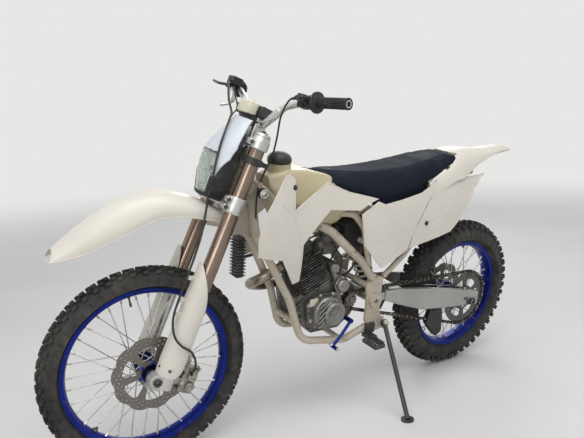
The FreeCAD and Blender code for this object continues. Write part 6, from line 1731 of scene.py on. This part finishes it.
def rear_trim():
    """Dark sheets of painted shade over the swingarm's axle slots, and the panels' dark bolts."""
    slots = Build()
    for side in (1, -1):
        seats = [on_surface("swingarm", ahead, up, side) for ahead, up in AXLE_SLOT]
        slots.add(prism([point + way * SLOT_SUNK for point, way in seats],
                        [point + way * SLOT_RISE for point, way in seats]), BIKE)
    # Each slot is a dark sheet on the swingarm's face: painted shade for its hollow
    slots.piece("axle_slot_shade", "dark_alloy", "chassis")
    bolts = Build()
    for node, ahead, up, radius in PANEL_BOLTS:
        for side in (1, -1):
            at, way = on_surface(node, ahead, up, side, PANEL_BOLT_RISE)
            bolts.add(button_bolt(radius, PANEL_BOLT_HEIGHT), on_bike(at, way))
    bolts.piece("panel_bolts", "black_metal", "chassis", sharp=30.0)


SKIRT_ROWS = range(340, 616, 12)
SKIRT_HEIGHTS = range(960, 820, -3)
SKIRT_RISE = 9
SKIRT_INWARD = 9
SKIRT_DROP = 46
SKIRT_THICKNESS = 3


def lower_edge(node, ahead, side):
    """Where, going down, a node's outer face ends."""
    found = None
    for up in SKIRT_HEIGHTS:
        if on_surface(node, ahead, up, side):
            found = up
        elif found is not None:
            return found
    return found


def skirt_rows(side):
    """Top and foot of the skirt, along the cushion."""
    rows = []
    down = direction(TO_BIKE, *DOWN) * SKIRT_DROP
    for ahead in SKIRT_ROWS:
        low = lower_edge("seat_cushion", ahead, side)
        seat = on_surface("seat_cushion", ahead, low + SKIRT_RISE, side, -SKIRT_THICKNESS) if low else None
        if seat:
            rows.append((seat[0], seat[0] - Vector((0, side * SKIRT_INWARD, 0)) + down))
    return rows


def seat_skirt():
    """The seat's cover turned in below its edge, down to the panels."""
    bpy.context.view_layer.update()
    made = Build()
    for side in (1, -1):
        inward = Vector((0, side * SKIRT_THICKNESS, 0))
        rows = skirt_rows(side)
        points = [point for top, foot in rows for point in (top, foot, foot - inward, top - inward)]
        made.add((points, grid_faces(len(rows), 4) + end_faces(len(points), 4)), BIKE)
    made.piece("seat_skirt", "seat_cover", "chassis")


left_cover()
starter()
engine_trim()
rear_trim()
seat_skirt()


# Floor, light and camera

# The camera stands in the bike's frame, as the photo's perspective gives it
CAMERA_PLACE = (2214, 1842, 1483)
CAMERA_AZIMUTH = math.radians(-125.53)
CAMERA_ELEVATION = math.radians(-17.09)
CAMERA_ROLL = math.radians(3.49)
FOCAL_PIXELS = 669
PHOTO_WIDTH = 584
SENSOR = 36
BACKDROP = (0.8, 0.8, 0.79, 1)
SKY_LIGHT = (0.86, 0.89, 0.93, 1)
SKY_STRENGTH = 0.55
# In m: the floor's half width, and where it starts and ends passing into the backdrop
FLOOR_REACH = 40
FLOOR_CLEAR = 2.6
FLOOR_LOST = 9.0
# Name, place, target, size and power, in m and W
LAMPS = [
    ("overhead", (0.4, 1.2, 3.6), (0, 0, 0.5), (3.2, 2.4), 84),
    ("front_left", (3.6, 2.6, 2.2), (0.2, 0, 0.6), (2.0, 2.0), 44),
    ("behind", (-2.8, -3.0, 2.6), (0, 0, 0.6), (2.4, 1.6), 44),
]


def added(name, data):
    made = bpy.data.objects.new(name, data)
    bpy.context.scene.collection.objects.link(made)
    return made


def camera():
    """The photograph's viewpoint, set in the upright bike's frame."""
    level = math.cos(CAMERA_ELEVATION)
    ahead = Vector((level * math.cos(CAMERA_AZIMUTH), level * math.sin(CAMERA_AZIMUTH),
                    math.sin(CAMERA_ELEVATION)))
    right = ahead.cross(Vector(UP)).normalized()
    above = right.cross(ahead)
    rolled_right = right * math.cos(CAMERA_ROLL) + above * math.sin(CAMERA_ROLL)
    rolled_above = above * math.cos(CAMERA_ROLL) - right * math.sin(CAMERA_ROLL)
    data = bpy.data.cameras.new("camera")
    data.sensor_width = SENSOR
    data.lens = FOCAL_PIXELS / PHOTO_WIDTH * SENSOR
    made = added("camera", data)
    made.matrix_world = (BIKE @ placement(CAMERA_PLACE, rolled_right, rolled_above, -ahead)).normalized()
    bpy.context.scene.camera = made


def soft_lamp(name, place, target, size, power):
    data = bpy.data.lights.new(name, "AREA")
    data.shape = "RECTANGLE"
    data.size, data.size_y = size
    data.energy = power
    made = added(name, data)
    made.location = place
    made.rotation_euler = (Vector(target) - Vector(place)).to_track_quat("-Z", "Y").to_euler()


def floor():
    """A pale floor that passes into the backdrop's own tone far from the machine."""
    graph = Graph("studio_floor")
    tone = graph.remap(graph.noise(0.8, 6.0), 0.3, 0.7)
    base = graph.mix(tone, opaque((0.66, 0.65, 0.635)), opaque((0.7, 0.69, 0.675)))
    graph.set(Base_Color=base, Roughness=0.75, Normal=graph.bump(graph.noise(90.0), 0.0003))
    distance = graph.node("ShaderNodeVectorMath", {0: graph.place}, operation="LENGTH").outputs["Value"]
    far = graph.node("ShaderNodeEmission", {"Color": BACKDROP, "Strength": 1.0}).outputs[0]
    blend = graph.node("ShaderNodeMixShader", {0: graph.remap(distance, FLOOR_CLEAR, FLOOR_LOST)})
    graph.tree.links.new(graph.shader.outputs[0], blend.inputs[1])
    graph.tree.links.new(far, blend.inputs[2])
    graph.tree.links.new(blend.outputs[0], graph.tree.nodes["Material Output"].inputs["Surface"])
    mesh = bpy.data.meshes.new("floor")
    corners = [(x * FLOOR_REACH, y * FLOOR_REACH, 0) for x, y in ((-1, -1), (1, -1), (1, 1), (-1, 1))]
    mesh.from_pydata(corners, [], [(0, 1, 2, 3)])
    mesh.materials.append(graph.material)
    added("floor", mesh)


def background(tree, colour, strength):
    node = tree.nodes.new("ShaderNodeBackground")
    node.inputs["Color"].default_value = colour
    node.inputs["Strength"].default_value = strength
    return node.outputs[0]


def backdrop():
    """White to the camera, to mirrors and through glass; a plain soft grey as a light."""
    world = bpy.context.scene.world or bpy.data.worlds.new("studio")
    bpy.context.scene.world = world
    world.use_nodes = True
    tree = world.node_tree
    tree.nodes.clear()
    rays = tree.nodes.new("ShaderNodeLightPath")
    seen = rays.outputs["Is Camera Ray"]
    for other in ("Is Transmission Ray", "Is Glossy Ray"):
        either = tree.nodes.new("ShaderNodeMath")
        either.operation = "MAXIMUM"
        tree.links.new(seen, either.inputs[0])
        tree.links.new(rays.outputs[other], either.inputs[1])
        seen = either.outputs[0]
    both = tree.nodes.new("ShaderNodeMixShader")
    tree.links.new(seen, both.inputs[0])
    tree.links.new(background(tree, SKY_LIGHT, SKY_STRENGTH), both.inputs[1])
    tree.links.new(background(tree, BACKDROP, 1.0), both.inputs[2])
    output = tree.nodes.new("ShaderNodeOutputWorld")
    tree.links.new(both.outputs[0], output.inputs[0])


camera()
floor()
backdrop()
for row in LAMPS:
    soft_lamp(*row)
bpy.context.scene.view_settings.view_transform = "Standard"
